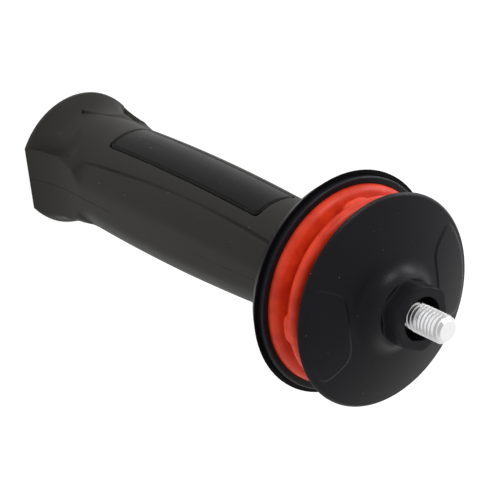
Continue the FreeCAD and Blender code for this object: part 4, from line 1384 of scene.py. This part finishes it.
    def back(self, angles: np.ndarray) -> list[Loop]:
        """Runs back inside the solid disc from the rim to the well.

        Args:
            angles: Angles round the axis.

        Returns:
            Radius and height of each loop.
        """
        hollow_r, hollow_z = self.fillet_centre()
        inside, top = self.hexagon(angles, self.depth), self.boss_top + self.lift
        bend_z = hollow_z - self.fillet_r * math.cos(math.pi / 6)
        loops: list[Loop] = []
        for radius in (self.rim_r - self.bevel, self.back_r, hollow_r + self.back_gap):
            loops.append((radius, self.dome_z(radius) - self.depth))
        loops.append((hollow_r - self.fillet_r / 2, bend_z - self.depth))
        loops += [(inside, self.foot_z() - self.back_gap), (inside, top - self.depth)]
        return loops + [(self.well_r + self.well_wall, top - self.well_cover)]

    def rings(self) -> np.ndarray:
        """Closed outline of the face at each angle.

        Returns:
            One ring for each point of the outline.
        """
        angles = np.linspace(0, FULL_TURN, self.columns, endpoint=False)
        cos, sin = np.cos(angles), np.sin(angles)
        loops = self.boss(angles) + self.front(angles) + self.back(angles)
        return np.array([
            np.stack(np.broadcast_arrays(radius * cos, radius * sin, height), axis=1)
            for radius, height in loops
        ])


# Solids that keep their own shape


@dataclass
class PlainParts:
    """The solids that are shown as they are, by finish."""

    finishes: dict[Finish, tuple[str, ...]] = field(default_factory=lambda: {
        # The core gets the darker copy of the hard black, as painted shade on its guard.
        Finish.SHADED_CORE_BLACK: ("grip_core",),
        Finish.HARD_BLACK: (
            "end_cap", "bush_retainer", "bellows_ring", "front_disc", "coupling_plate",
        ),
        Finish.ZINC_STEEL: (
            "retainer_screws", "plate_screws", "spacer_sleeve", "stop_washer", "lock_nut",
        ),
        Finish.BLACK_ELASTOMER: ("buffer_ring",),
        Finish.BUSH_WHITE: ("swivel_bush",),
        Finish.NYLON_BLUE: ("locking_ring",),
    })

    def build(self) -> list[bpy.types.Object]:
        """Dresses the solids.

        Returns:
            The dressed solids.
        """
        dressed = []
        for finish, names in self.finishes.items():
            for name in names:
                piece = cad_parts[name]
                finish.dress(piece)
                dressed.append(piece)
        return dressed


# The studio


@dataclass(frozen=True)
class Lamp:
    """A square soft light, placed in metres to the right, up and back of the handle's middle."""

    name: str
    right: float
    up: float
    back: float
    size: float
    watts: float


@dataclass
class Studio:
    """Pale floor, soft light and the camera."""

    eye: Triple = (373.4, -327.3, 575.9)
    right: Triple = (-0.7615, 0.0994, 0.6405)
    up: Triple = (-0.3719, -0.8764, -0.3061)
    lens: float = 180.0
    sensor: float = 36.0
    clip: Span = (0.01, 20.0)
    floor_half: float = 3.0
    floor_grey: float = 0.3
    floor_glow: float = 0.88
    floor_rough: float = 0.9
    dim: float = 0.5
    bright: float = 0.8
    opening: Triple = (0.55, 0.25, 0.75)
    opening_span: Span = (0.85, 0.25)
    aim_z: float = 95.0
    lamps: tuple[Lamp, ...] = (
        Lamp("side_light", 0.72, 0.54, -0.1, 0.36, 2.0),
        Lamp("front_light", 0.47, 0.62, 0.58, 0.34, 3.1),
    )
    tip_z: float = 161.0
    card_distance: float = 0.8
    card_size: float = 0.22
    card_watts: float = 0.062

    def build(self) -> list[bpy.types.Object]:
        """Sets up the floor, the lights and the camera.

        Returns:
            The floor.
        """
        self.camera()
        self.tent()
        right, up = Vector(self.right), Vector(self.up)
        back = right.cross(up)
        aim = Vector((0, 0, self.aim_z)) * MM
        for lamp in self.lamps:
            place = aim + right * lamp.right + up * lamp.up + back * lamp.back
            self.light(lamp.name, place, aim, lamp.size, lamp.watts)
        self.card()
        return [self.floor()]

    def card(self) -> None:
        """Adds the small bright card that the stud's flat tip mirrors."""
        tip = Vector((0, 0, self.tip_z)) * MM
        seen = Vector(self.eye) * MM - tip
        mirrored = Vector((-seen.x, -seen.y, seen.z)).normalized()
        place = tip + mirrored * self.card_distance
        self.light("tip_card", place, tip, self.card_size, self.card_watts)

    def camera(self) -> None:
        """Makes the camera at the photographed angle."""
        data = bpy.data.cameras.new("camera")
        data.lens = self.lens
        data.sensor_width = self.sensor
        data.clip_start, data.clip_end = self.clip
        camera = bpy.data.objects.new("camera", data)
        bpy.context.scene.collection.objects.link(camera)
        right = Vector(self.right).normalized()
        back = right.cross(Vector(self.up)).normalized()
        turn = Matrix((right, back.cross(right), back)).transposed().to_4x4()
        camera.matrix_world = Matrix.Translation(Vector(self.eye) * MM) @ turn
        bpy.context.scene.camera = camera

    def tent(self) -> None:
        """Surrounds the handle with a white light tent that is dimmer towards its opening."""
        world = bpy.data.worlds.new("studio")
        graph = Graph(world)
        place = graph.node("ShaderNodeTexCoord", {}, {}, "Generated")
        right, up = Vector(self.right), Vector(self.up)
        aside, below, back = self.opening
        opening = (right.cross(up) * back + right * aside - up * below).normalized()
        facing = graph.node(
            "ShaderNodeVectorMath", {"operation": "DOT_PRODUCT"}, {0: place, 1: opening}, "Value"
        )
        strength = self.dim + (self.bright - self.dim) * facing.between(*self.opening_span)
        glow = {"Color": tint(1.0, 1.0, 1.0), "Strength": strength}
        background = graph.node("ShaderNodeBackground", {}, glow)
        graph.node("ShaderNodeOutputWorld", {}, {"Surface": background})
        bpy.context.scene.world = world
        bpy.context.scene.view_settings.view_transform = "Standard"

    def light(self, name: str, place: Vector, aim: Vector, size: float, power: float) -> None:
        """Adds a square soft light that looks at a point.

        Args:
            name: Name of the light.
            place: Its place in metres.
            aim: The point it looks at.
            size: Length of its side in metres.
            power: Its power in watts.
        """
        data = bpy.data.lights.new(name, "AREA")
        data.size = size
        data.energy = power
        lamp = bpy.data.objects.new(name, data)
        lamp.location = place
        lamp.rotation_euler = (aim - place).to_track_quat("-Z", "Y").to_euler()
        bpy.context.scene.collection.objects.link(lamp)

    def floor(self) -> bpy.types.Object:
        """Makes the pale floor under the handle.

        Returns:
            The floor.
        """
        half = self.floor_half / MM
        points = np.array([(-half, -half, 0), (half, -half, 0), (half, half, 0), (-half, half, 0)])
        floor = face_piece("floor", points, [(0, 1, 2, 3)], 30.0)
        graph = Graph.surface("floor_finish")
        floor.data.materials.append(graph.finish({
            "Base Color": tint(self.floor_grey, self.floor_grey, self.floor_grey),
            "Roughness": self.floor_rough,
            "Specular IOR Level": 0.0,
            "Emission Color": tint(1.0, 1.0, 1.0),
            "Emission Strength": self.floor_glow,
        }))
        return floor


def main() -> None:
    """Builds every sub-assembly and reports its pieces."""
    logging.basicConfig(level=logging.INFO, format="%(name)s: %(message)s")
    for assembly in (Studio(), PlainParts(), Grip(), Bellows(), DiscFace(), Stud()):
        for piece in assembly.build():
            count = len(piece.data.polygons)
            LOG.info("%s: %s with %d faces", type(assembly).__name__, piece.name, count)


if __name__ == "__main__":
    main()
